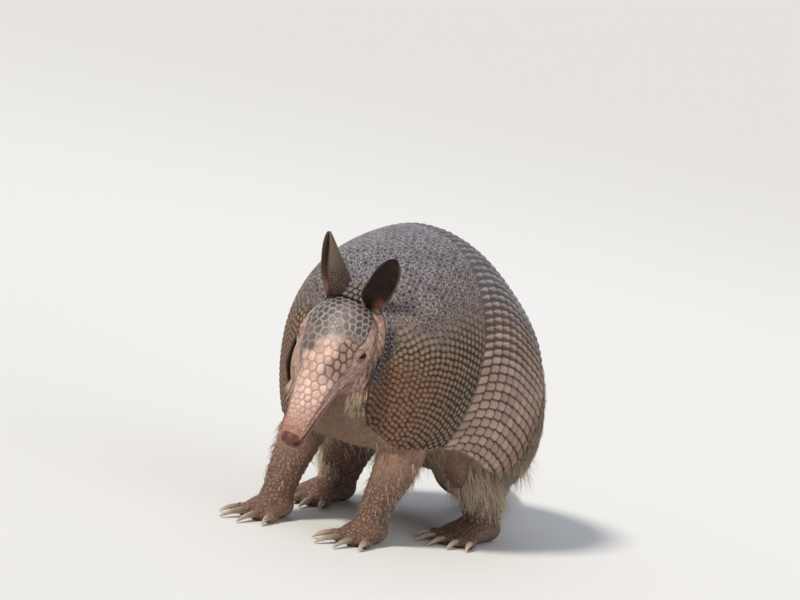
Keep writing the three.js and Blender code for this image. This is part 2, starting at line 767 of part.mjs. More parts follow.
// A leg and its foot part at the ankle.
const belowAnkle = box(vector(-600, -400, -100), vector(400, 400, ANKLE + GAP));
const aboveAnkle = box(vector(-600, -400, ANKLE), vector(400, 400, 400));
for (const [pair, sizes, makeLeg, makePad] of [
  ['front', FRONT_FOOT, frontLeg, frontPad],
  ['hind', HIND_FOOT, hindLeg, hindPad],
]) {
  for (const [word, side] of SIDES) {
    const stride = STRIDES[`${pair}_${word}`];
    const shift = [sizes.x + stride, side * sizes.y, 0];
    const leg = makeLeg(side, stride);
    const toes = sizes.toes.map((toe) => toeShape(toe, sizes.ball, side));
    const sole = union([makePad(), ...toes]).translate(shift);
    const upper = mainPiece(without(leg, [belowAnkle, trunkSeat, neckSeat, ...plates]));
    const foot = mainPiece(sole.add(leg).subtract(aboveAnkle));
    add(`${pair}_leg_${word}`, toGeometry(upper), MATERIALS.skin);
    add(`${pair}_foot_${word}`, pressed(toGeometry(foot)), MATERIALS.skin);
    sizes.toes.forEach((toe, i) => {
      const claw = clawShape(toe, sizes.ball, side).translate(shift);
      add(`claw_${pair}_${word}_${i + 1}`, toGeometry(claw), MATERIALS.claw);
    });
  }
}

// The origin is under the middle of the animal's box.
armadillo.updateMatrixWorld(true);
const whole = new THREE.Box3().setFromObject(armadillo);
armadillo.position.set(-(whole.min.x + whole.max.x) / 2, -(whole.min.y + whole.max.y) / 2, 0);

export default armadillo;
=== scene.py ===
# %% [markdown]
# # A banded armadillo, life size
# The armadillo stands with its head hanging and its tail lying on the floor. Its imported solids
# give every place and size. This script dresses them: horny plates with their scutes, one skin,
# ears, eyes, claws, a ringed tail and sparse hair. Each step says what the real thing is first.

# %% Load the frame
import bpy
import numpy as np
from mathutils import Matrix, Vector, kdtree


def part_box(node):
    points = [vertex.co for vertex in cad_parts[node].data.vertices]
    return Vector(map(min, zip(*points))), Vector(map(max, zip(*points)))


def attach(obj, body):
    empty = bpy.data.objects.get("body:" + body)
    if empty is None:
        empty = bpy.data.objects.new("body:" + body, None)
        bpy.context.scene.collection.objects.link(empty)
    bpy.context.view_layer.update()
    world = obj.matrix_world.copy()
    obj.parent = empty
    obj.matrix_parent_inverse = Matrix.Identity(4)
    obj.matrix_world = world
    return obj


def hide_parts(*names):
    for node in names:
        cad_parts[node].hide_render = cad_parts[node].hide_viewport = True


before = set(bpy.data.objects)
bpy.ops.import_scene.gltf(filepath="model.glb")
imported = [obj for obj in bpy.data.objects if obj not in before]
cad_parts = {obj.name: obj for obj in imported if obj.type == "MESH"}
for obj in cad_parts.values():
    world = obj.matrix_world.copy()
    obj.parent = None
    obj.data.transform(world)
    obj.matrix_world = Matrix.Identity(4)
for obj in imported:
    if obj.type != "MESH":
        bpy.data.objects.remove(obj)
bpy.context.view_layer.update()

# %% [markdown]
# ## The animal's own frame
# The plates, head and tail follow the solids' formulas, in millimetres. A few cross-sections of the
# body are called stations. Lofting curves between them would do, but a Catmull-Rom spline through
# their numbers gives every section between by one formula.


# %% Stations and smooth steps
def stations(rows):
    """A function of t from 0 to 1 that gives each column of the rows, spaced evenly in t, by a
    uniform Catmull-Rom spline whose end rows go on in a straight line."""
    rows = np.array(rows, float)
    last = len(rows) - 1
    padded = np.vstack([2 * rows[0] - rows[1], rows, 2 * rows[-1] - rows[-2]])

    def at(t):
        """The spline at t: the rows round it, weighted by cubics of the way between them."""
        place = np.clip(t, 0, 1) * last
        i = np.minimum(place.astype(int), last - 1)
        f = (place - i)[..., None]
        a, b, c, d = (padded[i + k] for k in range(4))
        curve = 2 * a - 5 * b + 4 * c - d + f * (3 * (b - c) + d - a)
        return b + 0.5 * f * (c - a + f * curve)

    return at


def smooth(value, low, high):
    """0 below low, 1 above high, and 3x^2 - 2x^3 between, where x runs from 0 to 1."""
    x = np.clip((value - low) / (high - low), 0, 1)
    return x * x * (3 - 2 * x)


def mix(a, b, share):
    """a where share is 0, b where it is 1, and the straight blend between."""
    return a + (b - a) * share


def bell(value, width):
    """1 at 0 and falling off as exp(-(value / width)^2)."""
    return np.exp(-((value / width) ** 2))


print("a smooth step at 0, 1/4, 1/2, 3/4 and 1:", smooth(np.linspace(0, 1, 5), 0, 1).round(3))

# %% [markdown]
# ## The body's sections
# The back is an arch, so its sections lean back over the rump. A section is two half ellipses. The
# body could be sculpted, but so every plate and hair has its place by a distance and an angle.

# %% The body's sections and the carapace's sizes
GAP, SHELL, UNDER_SHELL = 0.3, 3.5, 1.5
SCAPULAR_LENGTH, BAND_COUNT, BAND_PITCH, BAND_STEP = 91.0, 9, 10.2, 0.9
SHELL_WRAP, RUMP_WRAP, NECK_LOBE, PELVIC_END = 123.5, 104.0, 21.0, 0.965
BANDS_END = SCAPULAR_LENGTH + BAND_COUNT * BAND_PITCH
BODY = stations([  # x, z, lean in degrees, reach to the side, up to the ridge, down
    (54, 111, 0, 32, 42, 70), (42, 109, -3, 49, 65, 85), (26, 109, 0, 60, 74, 83),
    (-2, 109, 7, 65, 82, 82), (-25, 102, 10, 69, 85, 75), (-50, 88, 14, 70.5, 86, 67),
    (-78, 72, 20, 69, 81, 57), (-100, 53, 33, 60, 66, 45), (-116, 43, 50, 43, 47, 31),
    (-125, 38, 60, 21, 25, 20),
])


def section_point(row, across, rise):
    """A point of a leaning section: x - rise * sin(lean), across, z + rise * cos(lean)."""
    lean = np.radians(row[..., 2])
    return np.stack([row[..., 0] - rise * np.sin(lean), across,
                     row[..., 1] + rise * np.cos(lean)], -1)


def body_point(t, angle, outset=0.0):
    """A point of the carapace: half an ellipse over the middle and half under it, with angle in
    degrees from the ridge, positive to the left."""
    row = BODY(t)
    turn = np.radians(angle)
    reach = np.where(np.cos(turn) > 0, row[..., 4], row[..., 5])
    across = (row[..., 3] + outset) * np.sin(turn)
    return section_point(row, across, (reach + outset) * np.cos(turn))


RIDGE_T = np.linspace(0, 1, 401)
RIDGE = body_point(RIDGE_T, np.zeros(401))
RIDGE_AT = np.append(0, np.cumsum(np.linalg.norm(np.diff(RIDGE, axis=0), axis=1)))
PELVIC_REACH = RIDGE_AT[-1] * PELVIC_END


def wrap_at(distance):
    """Degrees from the ridge to the plates' lower edge: SHELL_WRAP, falling to RUMP_WRAP over
    the pelvic shield with the square of the distance."""
    rear = np.clip((distance - BANDS_END) / (PELVIC_REACH - BANDS_END), 0, 1)
    return mix(SHELL_WRAP, RUMP_WRAP, rear**2)


print("ridge of the back:", round(RIDGE_AT[-1]), "mm")

# %% [markdown]
# ## The head's sections
# The head is a long wedge. It is described straight, then bent, turned and moved as one. Modelling
# it in place would mix its shape with its pose, and its formulas would be hard to read.

# %% The head's sections and frame
HEAD_LENGTH = 99.0
HEAD_AT = np.array((50.5, -1.0, 139.5))
HEAD_TURN, HEAD_PITCH, HEAD_ROLL = np.radians((-1.5, -57.5, 12.0))
HEAD_SECTIONS = stations([  # x along the head, reach to the side, up, down
    (0, 15, 12, 15), (9, 22, 18.5, 20), (21, 25, 20.5, 22), (33, 24.5, 19.5, 21),
    (45, 19.8, 16.5, 17.5), (57, 14.4, 13.3, 14), (69, 11.6, 10.8, 11), (81, 9.8, 8.8, 8.8),
    (91, 8.4, 7.6, 7.4), (99, 6.2, 6, 5.2),
])


def turned(axis, angle):
    """The matrix that turns by angle, in radians, about axis 0, 1 or 2."""
    c, s = np.cos(angle), np.sin(angle)
    i, j = [(1, 2), (2, 0), (0, 1)][axis]
    matrix = np.eye(3)
    matrix[i, i], matrix[i, j], matrix[j, i], matrix[j, j] = c, -s, s, c
    return matrix


HEAD_AXES = turned(2, HEAD_TURN) @ turned(1, -HEAD_PITCH) @ turned(0, -HEAD_ROLL)


def head_point(t, angle, outset=0.0):
    """A point of the head in its own frame, as body_point but with no lean."""
    row = HEAD_SECTIONS(t)
    turn = np.radians(angle)
    reach = np.where(np.cos(turn) > 0, row[..., 2], row[..., 3])
    return np.stack([row[..., 0], (row[..., 1] + outset) * np.sin(turn),
                     (reach + outset) * np.cos(turn)], -1)


BEND_FROM, BEND_MOST, BEND_SHIFT = 18.0, 1.1, np.array((-3.5, 4.9, 0))  # mm, share, mm


def on_head(points):
    """From the straight head's frame to the animal's. In front of BEND_FROM the muzzle bends by
    BEND_SHIFT times the share of the way to its tip, to the left and a little back."""
    share = np.clip((points[..., [0]] - BEND_FROM) / (HEAD_LENGTH - BEND_FROM), 0, BEND_MOST)
    return (points + share * BEND_SHIFT) @ HEAD_AXES.T + HEAD_AT


EYE_ALONG, EYE_ANGLE, EYE_RADIUS, EYE_SUNK = 30.5, 76.0, 3.3, 1.9  # mm, degrees, mm, mm
LEFT_EYE = head_point(np.array(EYE_ALONG / HEAD_LENGTH), EYE_ANGLE, -EYE_SUNK)
print("left eye in the animal's frame:", on_head(LEFT_EYE).round(1), "mm")

# %% [markdown]
# ## From millimetres to the row frame
# The solids' origin is under the middle of their box. The left eye's ball is the same in the
# formulas and in the frame, so the step between its two centres is the offset of everything.

# %% Offset and the mesh maker
EYE_BOX = np.array([list(corner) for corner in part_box("eye_left")])
OFFSET = EYE_BOX.mean(0) * 1000 - on_head(LEFT_EYE)
print("offset in mm:", OFFSET.round(2))


def to_row(points):
    """Millimetres in the animal's frame to metres in the row frame."""
    return (points + OFFSET) * 0.001


def volume(points, polygons):
    """The space inside closed polygons: the sum of a . (b x c) / 6 over each fan of triangles. It
    is below 0 where the faces point inwards."""
    total = 0.0
    for group in polygons:
        a = points[group[:, 0]]
        for k in range(1, group.shape[1] - 1):
            b, c = points[group[:, k]], points[group[:, k + 1]]
            total += (a * np.cross(b, c)).sum() / 6
    return total


def make_piece(name, points, polygons, uv=None, values=None, replaces=(), slot=None):
    """A mesh object from whole arrays: points (n, 3) in mm, polygons as (k, corners) index arrays,
    uv as (k, corners, 2) arrays for the map OFBake, and values as named numbers, one per point.
    Faces that point inwards are turned round. The piece rides on the animal."""
    if volume(points, polygons) < 0:
        polygons = [p[:, ::-1] for p in polygons]
        uv = uv and [u[:, ::-1] for u in uv]
    mesh = bpy.data.meshes.new(name)
    mesh.vertices.add(len(points))
    mesh.vertices.foreach_set("co", to_row(points).astype(np.float32).ravel())
    corners = np.concatenate([p.ravel() for p in polygons]).astype(np.int32)
    sizes = np.concatenate([np.full(len(p), p.shape[1]) for p in polygons])
    mesh.loops.add(len(corners))
    mesh.loops.foreach_set("vertex_index", corners)
    mesh.polygons.add(len(sizes))
    mesh.polygons.foreach_set("loop_start", np.append(0, np.cumsum(sizes)[:-1]).astype(np.int32))
    mesh.polygons.foreach_set("use_smooth", np.ones(len(sizes), bool))
    mesh.update(calc_edges=True)
    if uv is not None:
        layer = mesh.uv_layers.new(name="OFBake")
        layer.data.foreach_set("uv", np.concatenate([u.reshape(-1, 2) for u in uv])
                               .astype(np.float32).ravel())
    for key, value in (values or {}).items():
        layer = mesh.attributes.new(key, "FLOAT", "POINT")
        layer.data.foreach_set("value", np.asarray(value, np.float32).ravel())
    made = bpy.data.objects.new(name, mesh)
    bpy.context.collection.objects.link(made)
    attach(made, "root")
    if replaces:
        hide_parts(*replaces)
    triangles = int((sizes - 2).sum())
    print(f"{name}: {triangles} triangles")
    return made


# %% [markdown]
# ## Colours and nodes
# A finish is a network of nodes that ends in the Principled shader. It could be wired by hand, but
# code can be read and repeated. One small function adds a node with its settings and links, and
# others lay coats of paint. Colours are sRGB hex values, turned to linear light by one function.


# %% Colours, nodes and coats of paint
def colour(code):
    """An sRGB hex value as linear red, green, blue and alpha."""
    parts = [int(code[i:i + 2], 16) / 255 for i in (0, 2, 4)]
    linear = [p / 12.92 if p <= 0.04045 else ((p + 0.055) / 1.055) ** 2.4 for p in parts]
    return (*linear, 1.0)


def plug(tree, made, inputs):
    """Links a node's inputs where a socket is given, and sets them where a number or a colour is.
    A text is the name of a number on the mesh. Inputs are named or numbered, or come in order."""
    for key, value in (inputs.items() if isinstance(inputs, dict) else enumerate(inputs)):
        if isinstance(value, str):
            value = node(tree, "Attribute", output="Fac", attribute_name=value)
        if isinstance(value, bpy.types.NodeSocket):
            tree.links.new(value, made.inputs[key])
        else:
            made.inputs[key].default_value = value


def node(tree, kind, inputs=(), output=0, **settings):
    """Adds a node with its settings and its links, and gives one of its output sockets."""
    made = tree.nodes.new("ShaderNode" + kind)
    for key, value in settings.items():
        setattr(made, key, value)
    plug(tree, made, inputs)
    return made.outputs[output] if made.outputs else None


def painted(tree, tone, *coats):
    """A tone under coats of (share, colour, perhaps a strength), where a share is an attribute's
    name or a socket: each turns the tone into tone + (colour - tone) * share * strength."""
    tone = colour(tone) if isinstance(tone, str) else tone
    for share, over, *strength in coats:
        for factor in strength:
            share = node(tree, "Math", (share, factor), operation="MULTIPLY")
        over = colour(over) if isinstance(over, str) else over
        tone = node(tree, "Mix", {0: share, 6: tone, 7: over}, 2, data_type="RGBA")
    return tone


def clouded(tree, place, size, detail, low, high, most=1.0):
    """A share in soft lumps about `size` mm across: noise, eased from 0 at low to most at high."""
    lumps = node(tree, "TexNoise", {"Vector": place, "Scale": 1000 / size, "Detail": detail})
    return node(tree, "MapRange", (lumps, low, high, 0.0, most), interpolation_type="SMOOTHSTEP")


def material(name, sockets, finish=None):
    """A material whose Principled shader has its sockets set. `finish` adds nodes to the tree and
    gives the sockets that they drive."""
    made = bpy.data.materials.new(name)
    made.use_nodes = True
    tree = made.node_tree
    driven = finish(tree) if finish else {}
    plug(tree, tree.nodes["Principled BSDF"], {**sockets, **driven})
    print(f"material {name}: {len(tree.nodes)} nodes")
    return made


print("grey 808080 is", round(colour("808080")[0], 3), "in linear light")


# %% [markdown]
# ## Scutes
# The shell is bone under horn, divided into small plates called scutes, which pack like an uneven
# honeycomb. Each could be a copied mesh, but a relief on one fine surface has no gaps. One
# function finds how far every point is from the border of its own cell.

# %% The uneven honeycomb
def scatter(a, b, seed):
    """A repeatable random number from 0 to 1 for whole numbers a and b."""
    value = np.sin(a * 127.1 + b * 311.7 + seed * 74.7) * 43758.5453
    return value - np.floor(value)


def honeycomb(along, across, jitter, seed):
    """Distance to the nearest border and the cell's random number, for points in units of the
    spacing. Rows are sqrt(3)/2 apart, every other one half a step over, and centres are shifted by
    up to `jitter`. A border is (other reach^2 - own reach^2) / (2 * the centres' distance) away."""
    pitch = np.sqrt(3) / 2
    row = np.round(along / pitch)
    found = []
    for step in (-1, 0, 1):
        r = row + step
        shift = 0.5 * np.mod(r, 2)
        col = np.round(across - shift)
        for side in (-1, 0, 1):
            c = col + side
            centre_a = r * pitch + jitter * (scatter(r, c, seed) - 0.5) * 2
            centre_b = c + shift + jitter * (scatter(r, c, seed + 9) - 0.5) * 2
            found.append((centre_a, centre_b, scatter(r, c, seed + 5)))
    a, b, chance = (np.stack([f[k] for f in found]) for k in range(3))
    reach = np.hypot(a - along, b - across)
    first = reach.argmin(0)[None]
    own_a, own_b, own_reach, own_chance = (np.take_along_axis(table, first, 0)[0]
                                           for table in (a, b, reach, chance))
    apart = np.hypot(a - own_a, b - own_b)
    border = np.where(apart > 1e-6, (reach**2 - own_reach**2) / (2 * np.maximum(apart, 1e-6)), 9)
    return border.min(0), own_chance


sample = honeycomb(*np.mgrid[0:6:0.1, 0:6:0.1], 0.12, 1)[0]
print("deepest point of a cell:", round(float(sample.max()), 2), "of the spacing from its border")

# %% [markdown]
# ## Scutes on a dome
# On the dome of a shield a flat honeycomb would be stretched. So the centres are set on the curved
# surface itself, in rows that follow the bands, and each moves to the middle of its own cell a
# few times. That packs them evenly, with small faults, as in a shell that has grown.


# %% Centres spread on a curved surface
def nearest(points, centres, count):
    """The indices of each point's nearest centres and their distances, (points, count)."""
    tree = kdtree.KDTree(len(centres))
    for k, centre in enumerate(centres):
        tree.insert(centre, k)
    tree.balance()
    found = [[(k, far) for _, k, far in tree.find_n(point, count)] for point in points]
    table = np.array(found)
    return table[..., 0].astype(int), table[..., 1]


ROW_STEP, ROUNDS, SHAKE = 0.866, 5, 0.07


def rows_of_centres(surface, size):
    """Centres in rows along a grid's rear edge, ROW_STEP * `size` mm apart and `size` apart in the
    row, every other row half a step over. ROUNDS times each moves to the middle of its own cell,
    where small cells weigh more. Last, each is shifted at random by up to SHAKE of the smallest
    size."""
    steps = np.linalg.norm(np.diff(surface, axis=0), axis=2) / (ROW_STEP * size[1:])
    row = np.vstack([np.zeros(surface.shape[1]), np.cumsum(steps[::-1], 0)])[::-1] - 0.5
    columns = np.arange(surface.shape[1])
    middle = surface.shape[1] // 2
    found = []
    for k in range(int(row.max()) + 1):
        i = np.clip((row > k).sum(0) - 1, 0, len(row) - 2)
        share = (row[i, columns] - k) / (row[i, columns] - row[i + 1, columns])
        spots = mix(surface[i, columns], surface[i + 1, columns], np.clip(share, 0, 1)[:, None])
        there = row[0] > k
        step = np.linalg.norm(np.diff(spots, axis=0), axis=1) / size[i, columns][1:]
        place = np.append(0, np.cumsum(step * (there[1:] & there[:-1])))
        place -= place[middle]
        wanted = np.arange(np.ceil(place[0]), place[-1]) + 0.5 * (k % 2)
        wanted = wanted[(wanted < place[-1] - 0.2) & (there[middle] | (np.abs(wanted) > 0.3))]
        found.append(np.stack([np.interp(wanted, place, spots[:, j]) for j in range(3)], -1))
    centres = np.concatenate(found)
    points = surface.reshape(-1, 3)
    weight = (area_shares(surface) * size**-4.0).ravel()
    for _ in range(ROUNDS):
        owner = nearest(points, centres, 1)[0][:, 0]
        total = np.bincount(owner, weight, len(centres))
        moved = np.stack([np.bincount(owner, weight * points[:, k], len(centres))
                          for k in range(3)], -1) / np.maximum(total, 1e-12)[:, None]
        centres = np.where(total[:, None] > 0, moved, centres)
    shift = np.random.default_rng(len(centres)).uniform(-1, 1, centres.shape)
    return centres + SHAKE * size.min() * shift


def area_shares(grid):
    """The area round each point of a grid: the product of its steps both ways, as a cross."""
    return np.linalg.norm(np.cross(np.gradient(grid, axis=0), np.gradient(grid, axis=1)), axis=2)


def cells_of(points, centres, seed):
    """For every point: the distance to its centre, the distances to its cell's nearest border and
    to the next one, and the cell's random number. Near a corner both borders are near."""
    owner, far = nearest(points, centres, 4)
    own = centres[owner[:, 0]]
    apart = np.linalg.norm(centres[owner[:, 1:]] - own[:, None], axis=2)
    border = (far[:, 1:] ** 2 - far[:, [0]] ** 2) / (2 * np.maximum(apart, 1e-6))
    border.sort(axis=1)
    return far[:, 0], border[:, 0], border[:, 1], scatter(owner[:, 0], 1.0, seed)


sheet = np.zeros((41, 41, 3))
sheet[..., 0], sheet[..., 1] = np.mgrid[0:41, 0:41]
print("5 mm apart on a square of 40 mm:", len(rows_of_centres(sheet, np.full((41, 41), 5.0))))

# %% [markdown]
# ## Curved plates
# A plate is a closed shell between a fine outer grid, which carries the relief, and an inner one
# with fewer columns, as it lies on the flesh unseen. Side walls and end strips close the edges.
# A solid block could be carved to this shape, but a grid keeps its points in even rows.


# %% Plate maker
def closed_plate(name, outer, inner, values, inside, **kit):
    """Joins two grids of equally many rows into one closed mesh. The outer one has a whole number
    of times as many columns. `inside` gives the inner face's numbers, 0 where it is silent. On the
    map, the outer face is a strip below and the inner one a strip above."""
    rows, wide = outer.shape[:2]
    narrow = inner.shape[1]
    times = (wide - 1) // (narrow - 1)
    out = np.arange(rows * wide).reshape(rows, wide)
    back = out.size + np.arange(rows * narrow).reshape(rows, narrow)

    def quads(grid):
        """The cells of a grid, each as the indices of its four corners."""
        return np.stack([grid[:-1, :-1], grid[:-1, 1:], grid[1:, 1:], grid[1:, :-1]], -1)

    def unwrapped(grid, start, height):
        """A grid laid flat on the map, in a strip of that height."""
        across, along = np.meshgrid(np.linspace(0.01, 0.99, grid.shape[1]),
                                    np.linspace(0, 1, rows))
        return np.stack([across, start + height * along], -1).reshape(-1, 2)

    all_uv = np.concatenate([unwrapped(out, 0.01, 0.8), unwrapped(back, 0.85, 0.14)])
    faces = [quads(out).reshape(-1, 4), quads(back).reshape(-1, 4)[:, ::-1]]
    left = np.stack([out[:-1, 0], back[:-1, 0], back[1:, 0], out[1:, 0]], -1)
    right = np.stack([out[:-1, -1], out[1:, -1], back[1:, -1], back[:-1, -1]], -1)
    faces += [left[:, ::-1], right[:, ::-1]]
    for end, turn in ((0, -1), (-1, 1)):
        blocks = np.stack([out[end, k * times:(k + 1) * times + 1] for k in range(narrow - 1)])
        strip = np.column_stack([blocks, back[end, 1:], back[end, :-1]])
        faces.append(strip[:, ::turn])
    spots = np.concatenate([outer.reshape(-1, 3), inner.reshape(-1, 3)])
    plain = np.zeros(inner.shape[:2])
    held = {key: np.append(value.ravel(), (plain + inside.get(key, 0)).ravel())
            for key, value in values.items()}
    return make_piece(name, spots, faces, [all_uv[f] for f in faces], held, **kit)


def plate_grid(start, end, rows, columns, start_at=None):
    """Distances along the ridge and degrees from it, on a grid whose rows run from the front edge
    (bent by start_at of the share across) to the rear one."""
    u, v = np.meshgrid(np.linspace(0, 1, rows), np.linspace(-1, 1, columns), indexing="ij")
    front = start if start_at is None else start_at(v)
    distance = mix(front, end - GAP, u)
    return distance, v * wrap_at(distance)


def plate_surface(distance, angle, outset):
    """The carapace at a ridge distance and angle. In front of the neck edge, where the distance
    is below 0, the surface runs straight on towards +x."""
    t = np.interp(np.maximum(distance, 0), RIDGE_AT, RIDGE_T)
    spot = body_point(t, angle, outset)
    spot[..., 0] -= np.minimum(distance, 0)
    return spot


def measured(spot):
    """Arc lengths on a grid of points: along the columns back from the rear edge, and across the
    rows from the middle column, in millimetres."""
    steps = np.linalg.norm(np.diff(spot, axis=0), axis=2)
    ahead = np.vstack([np.zeros(spot.shape[1]), np.cumsum(steps[::-1], 0)])[::-1]
    steps = np.linalg.norm(np.diff(spot, axis=1), axis=2)
    across = np.hstack([np.zeros((len(spot), 1)), np.cumsum(steps, 1)])
    return ahead, across - across[:, [spot.shape[1] // 2]]


def edge_round(ahead, across, length_ahead, radius=1.3):
    """How far a plate's outer face drops next to its edges: a quarter ellipse, `radius` wide and
    0.8 of that deep."""
    side = np.minimum(across - across[:, [0]], across[:, [-1]] - across)
    edge = np.minimum(side, np.minimum(ahead, length_ahead - ahead))
    inward = np.clip(1 - edge / radius, 0, 1)
    return radius * 0.8 * (1 - np.sqrt(1 - inward**2))


print("carapace sizes: scapular", SCAPULAR_LENGTH, "bands end", round(BANDS_END),
      "pelvic end", round(PELVIC_REACH))

# %% [markdown]
# ## Horn of the carapace
# Thin horn lies over the bone, dull and dry: grey on top, with a pale net round dark scutes, and
# tan on dark brown down the sides. A painted image would need a flat map of the whole shell, so
# the grids carry numbers instead: dark (the deep tone), net (the pale net), tan, pink and warm
# (the palettes), black (the front rim) and chance (each scute's own shade). Noise adds the dust.


# %% Horn material
BEAD, DUST, PORE = 1.1, 14, 0.5  # mm


def shaded(tree, tone, shade, spread, least):
    """The tone times a grey, which is shade * (least + spread * chance)."""
    own = node(tree, "Math", ("chance", spread, least), operation="MULTIPLY_ADD")
    grey = node(tree, "Math", (shade, own), operation="MULTIPLY")
    grey = node(tree, "CombineColor", (grey, grey, grey))
    return node(tree, "Mix", {0: 1.0, 6: tone, 7: grey}, 2, data_type="RGBA", blend_type="MULTIPLY")


def dusty_horn(tree):
    """Pale and deep horn, mixed by max(dark, 0.78 * furrow * net) - 0.22 * fleck * net, where both
    come from beads of horn in the net. The grey over it is 0.58 + 0.3 * dust + 0.5 * grains."""
    place = node(tree, "TexCoord", output="Object")
    pale = painted(tree, "a09ba1", ("tan", "947e69"), ("pink", "b39789"), ("warm", "86644f"))
    deep = painted(tree, "3a363b", ("tan", "2a1d15"), ("pink", "3d2a21"), ("warm", "301f15"))
    beads = node(tree, "TexVoronoi", {"Vector": place, "Scale": 1000 / BEAD})
    furrow = node(tree, "MapRange", (beads, 0.3, 0.62), interpolation_type="SMOOTHSTEP")
    furrow = node(tree, "Math", (furrow, "net"), operation="MULTIPLY")
    furrow = node(tree, "Math", (furrow, 0.78), operation="MULTIPLY")
    fleck = node(tree, "MapRange", (beads, 0.34, 0.12), interpolation_type="SMOOTHSTEP")
    fleck = node(tree, "Math", (fleck, "net"), operation="MULTIPLY")
    fleck = node(tree, "Math", (fleck, 0.22), operation="MULTIPLY")
    dark = node(tree, "Math", ("dark", furrow), operation="MAXIMUM")
    dark = node(tree, "Math", (dark, fleck), operation="SUBTRACT", use_clamp=True)
    tone = painted(tree, pale, (dark, deep), ("black", "25211f"))
    dust = node(tree, "TexNoise", {"Vector": place, "Scale": 1000 / DUST, "Detail": 4})
    grains = node(tree, "TexNoise", {"Vector": place, "Scale": 1000 / BEAD, "Detail": 3})
    shade = node(tree, "Math", (dust, 0.3, 0.78), operation="MULTIPLY_ADD")
    shade = node(tree, "Math", (shade, 0.2), operation="SUBTRACT")
    shade = node(tree, "Math", (grains, 0.5, shade), operation="MULTIPLY_ADD")
    domes = node(tree, "Math", (0.7, beads), operation="SUBTRACT")
    domes = node(tree, "Math", (domes, "net"), operation="MULTIPLY")
    pores = node(tree, "TexNoise", {"Vector": place, "Scale": 1000 / PORE, "Detail": 2})
    rise = node(tree, "Math", (pores, 0.3, domes), operation="MULTIPLY_ADD")
    return {"Base Color": shaded(tree, tone, shade, 0.36, 0.76),
            "Roughness": node(tree, "Math", (grains, 0.25, 0.45), operation="MULTIPLY_ADD"),
            "Normal": node(tree, "Bump", {"Height": rise, "Strength": 0.5, "Distance": 0.0004})}


# Dusty horn scatters more light than it mirrors, so the specular level is low.
HORN = material("horn_carapace", {"IOR": 1.55, "Specular IOR Level": 0.22}, dusty_horn)


# %% [markdown]
# ## The scapular and pelvic shields
# Each shield is one stiff plate of fused scutes. A scute has a middle figure and a ring of small
# beads. On the back the figure is a flat dark spot. On the flanks it is a pale dome. The front
# rim, beside the cheek, has two rows of large dark scutes in a pale net.


# %% Relief of the fused scutes
def scute_spacing(distance, flank, rim):
    """The scutes' spacing in mm: 4.9 on the back, 4.2 on the flank, 3.4 low beside the neck, and
    2.9 in the front rim."""
    size = mix(4.9, 4.2, smooth(flank, 52, 80))
    low_front = smooth(flank, 64, 96) * (1 - smooth(distance, 16, 78))
    return mix(mix(size, 3.4, low_front), 2.9, rim)


def shield_values(distance, angle, front_rim, seed):
    """All the numbers of a shield. On the back each scute is a flat dark spot in a pale net, and on
    the flank a pale dome in a dark net, which is partly the horn's colour and partly painted shade
    between the domes. In the front rim it is a black polygon."""
    flank = np.abs(angle)
    surface = plate_surface(distance, angle, 0.0)
    ahead, across = measured(surface)
    rim = 0 * flank
    if front_rim:
        reach = mix(9.5, 6.5, smooth(flank, 66, 98)) + 1.6 * np.sin(across / 2.7)
        rim = smooth(ahead[[0]] - ahead, reach, reach - 4) * smooth(flank, 52, 66)
        rim = rim * (1 - smooth(flank, 96, 104))
    size = scute_spacing(distance, flank, rim)
    few = (slice(None, None, 2), slice(None, None, 2))
    centres = rows_of_centres(surface[few], size[few])
    reach, border, second, chance = (
        grid.reshape(flank.shape) for grid in cells_of(surface.reshape(-1, 3), centres, seed))
    wobble = 4 * np.sin(distance / 9 + 1.3) + 5 * (chance - 0.5)
    side = smooth(flank + wobble, 48, 80)
    share = reach / size
    spot = 1 - smooth(share + 0.1 * (chance - 0.5), 0.16, 0.32)
    full = smooth(flank, 66, 92) * (1 - smooth(distance, 6, 70))
    dome = 1 - smooth(share + 0.08 * (chance - 0.5), mix(0.12, 0.2, full), mix(0.5, 0.58, full))
    pit = 1 - smooth(second, 0.35, 1.0)
    high_back = 0.14 - 0.4 * np.maximum(spot, 0.7 * pit)
    high_side = 0.95 * np.sqrt(np.clip(1 - (share / 0.5) ** 2, 0, 1)) - 0.3
    line = 0.85 - 0.85 * smooth(border, 0.1, 0.45)
    high = mix(mix(high_back, high_side, side), 0.4 * line - 0.15, rim)
    # Painted shade in part: on the flank the net between the pale domes is coloured dark.
    dark = mix(mix(np.maximum(0.95 * spot, 0.75 * pit), 1 - dome, side), 0.9 * (1 - line), rim)
    net = mix(1 - mix(spot, dome, side), 0.1 * line, rim)
    tan = 0.5 * smooth(flank, 12, 62) + 0.5 * side
    warm = smooth(flank, 70, 94) * (1 - smooth(distance, 12, 74)) * (1 - rim)
    rear = smooth(distance, BANDS_END, BANDS_END + 12) * smooth(flank, 40, 75)
    print("scutes:", len(centres))
    return high, {"dark": dark, "net": net, "tan": tan * (1 - 0.6 * rim), "pink": 0 * side,
                  "warm": np.maximum(warm, rear), "black": rim * (1 - line),
                  "chance": chance}, ahead, across


print("spacing on the ridge and low on the flank:",
      scute_spacing(np.array((40.0, 40.0)), np.array((0.0, 100.0)), 0.0).round(1), "mm")

# %% [markdown]
# ## Scutes in a row
# A hoop has one row of scutes, and so has the rear edge of the front shield. Counted by angle they
# would be uneven, because the hoop isn't round, so they are counted along the arc.


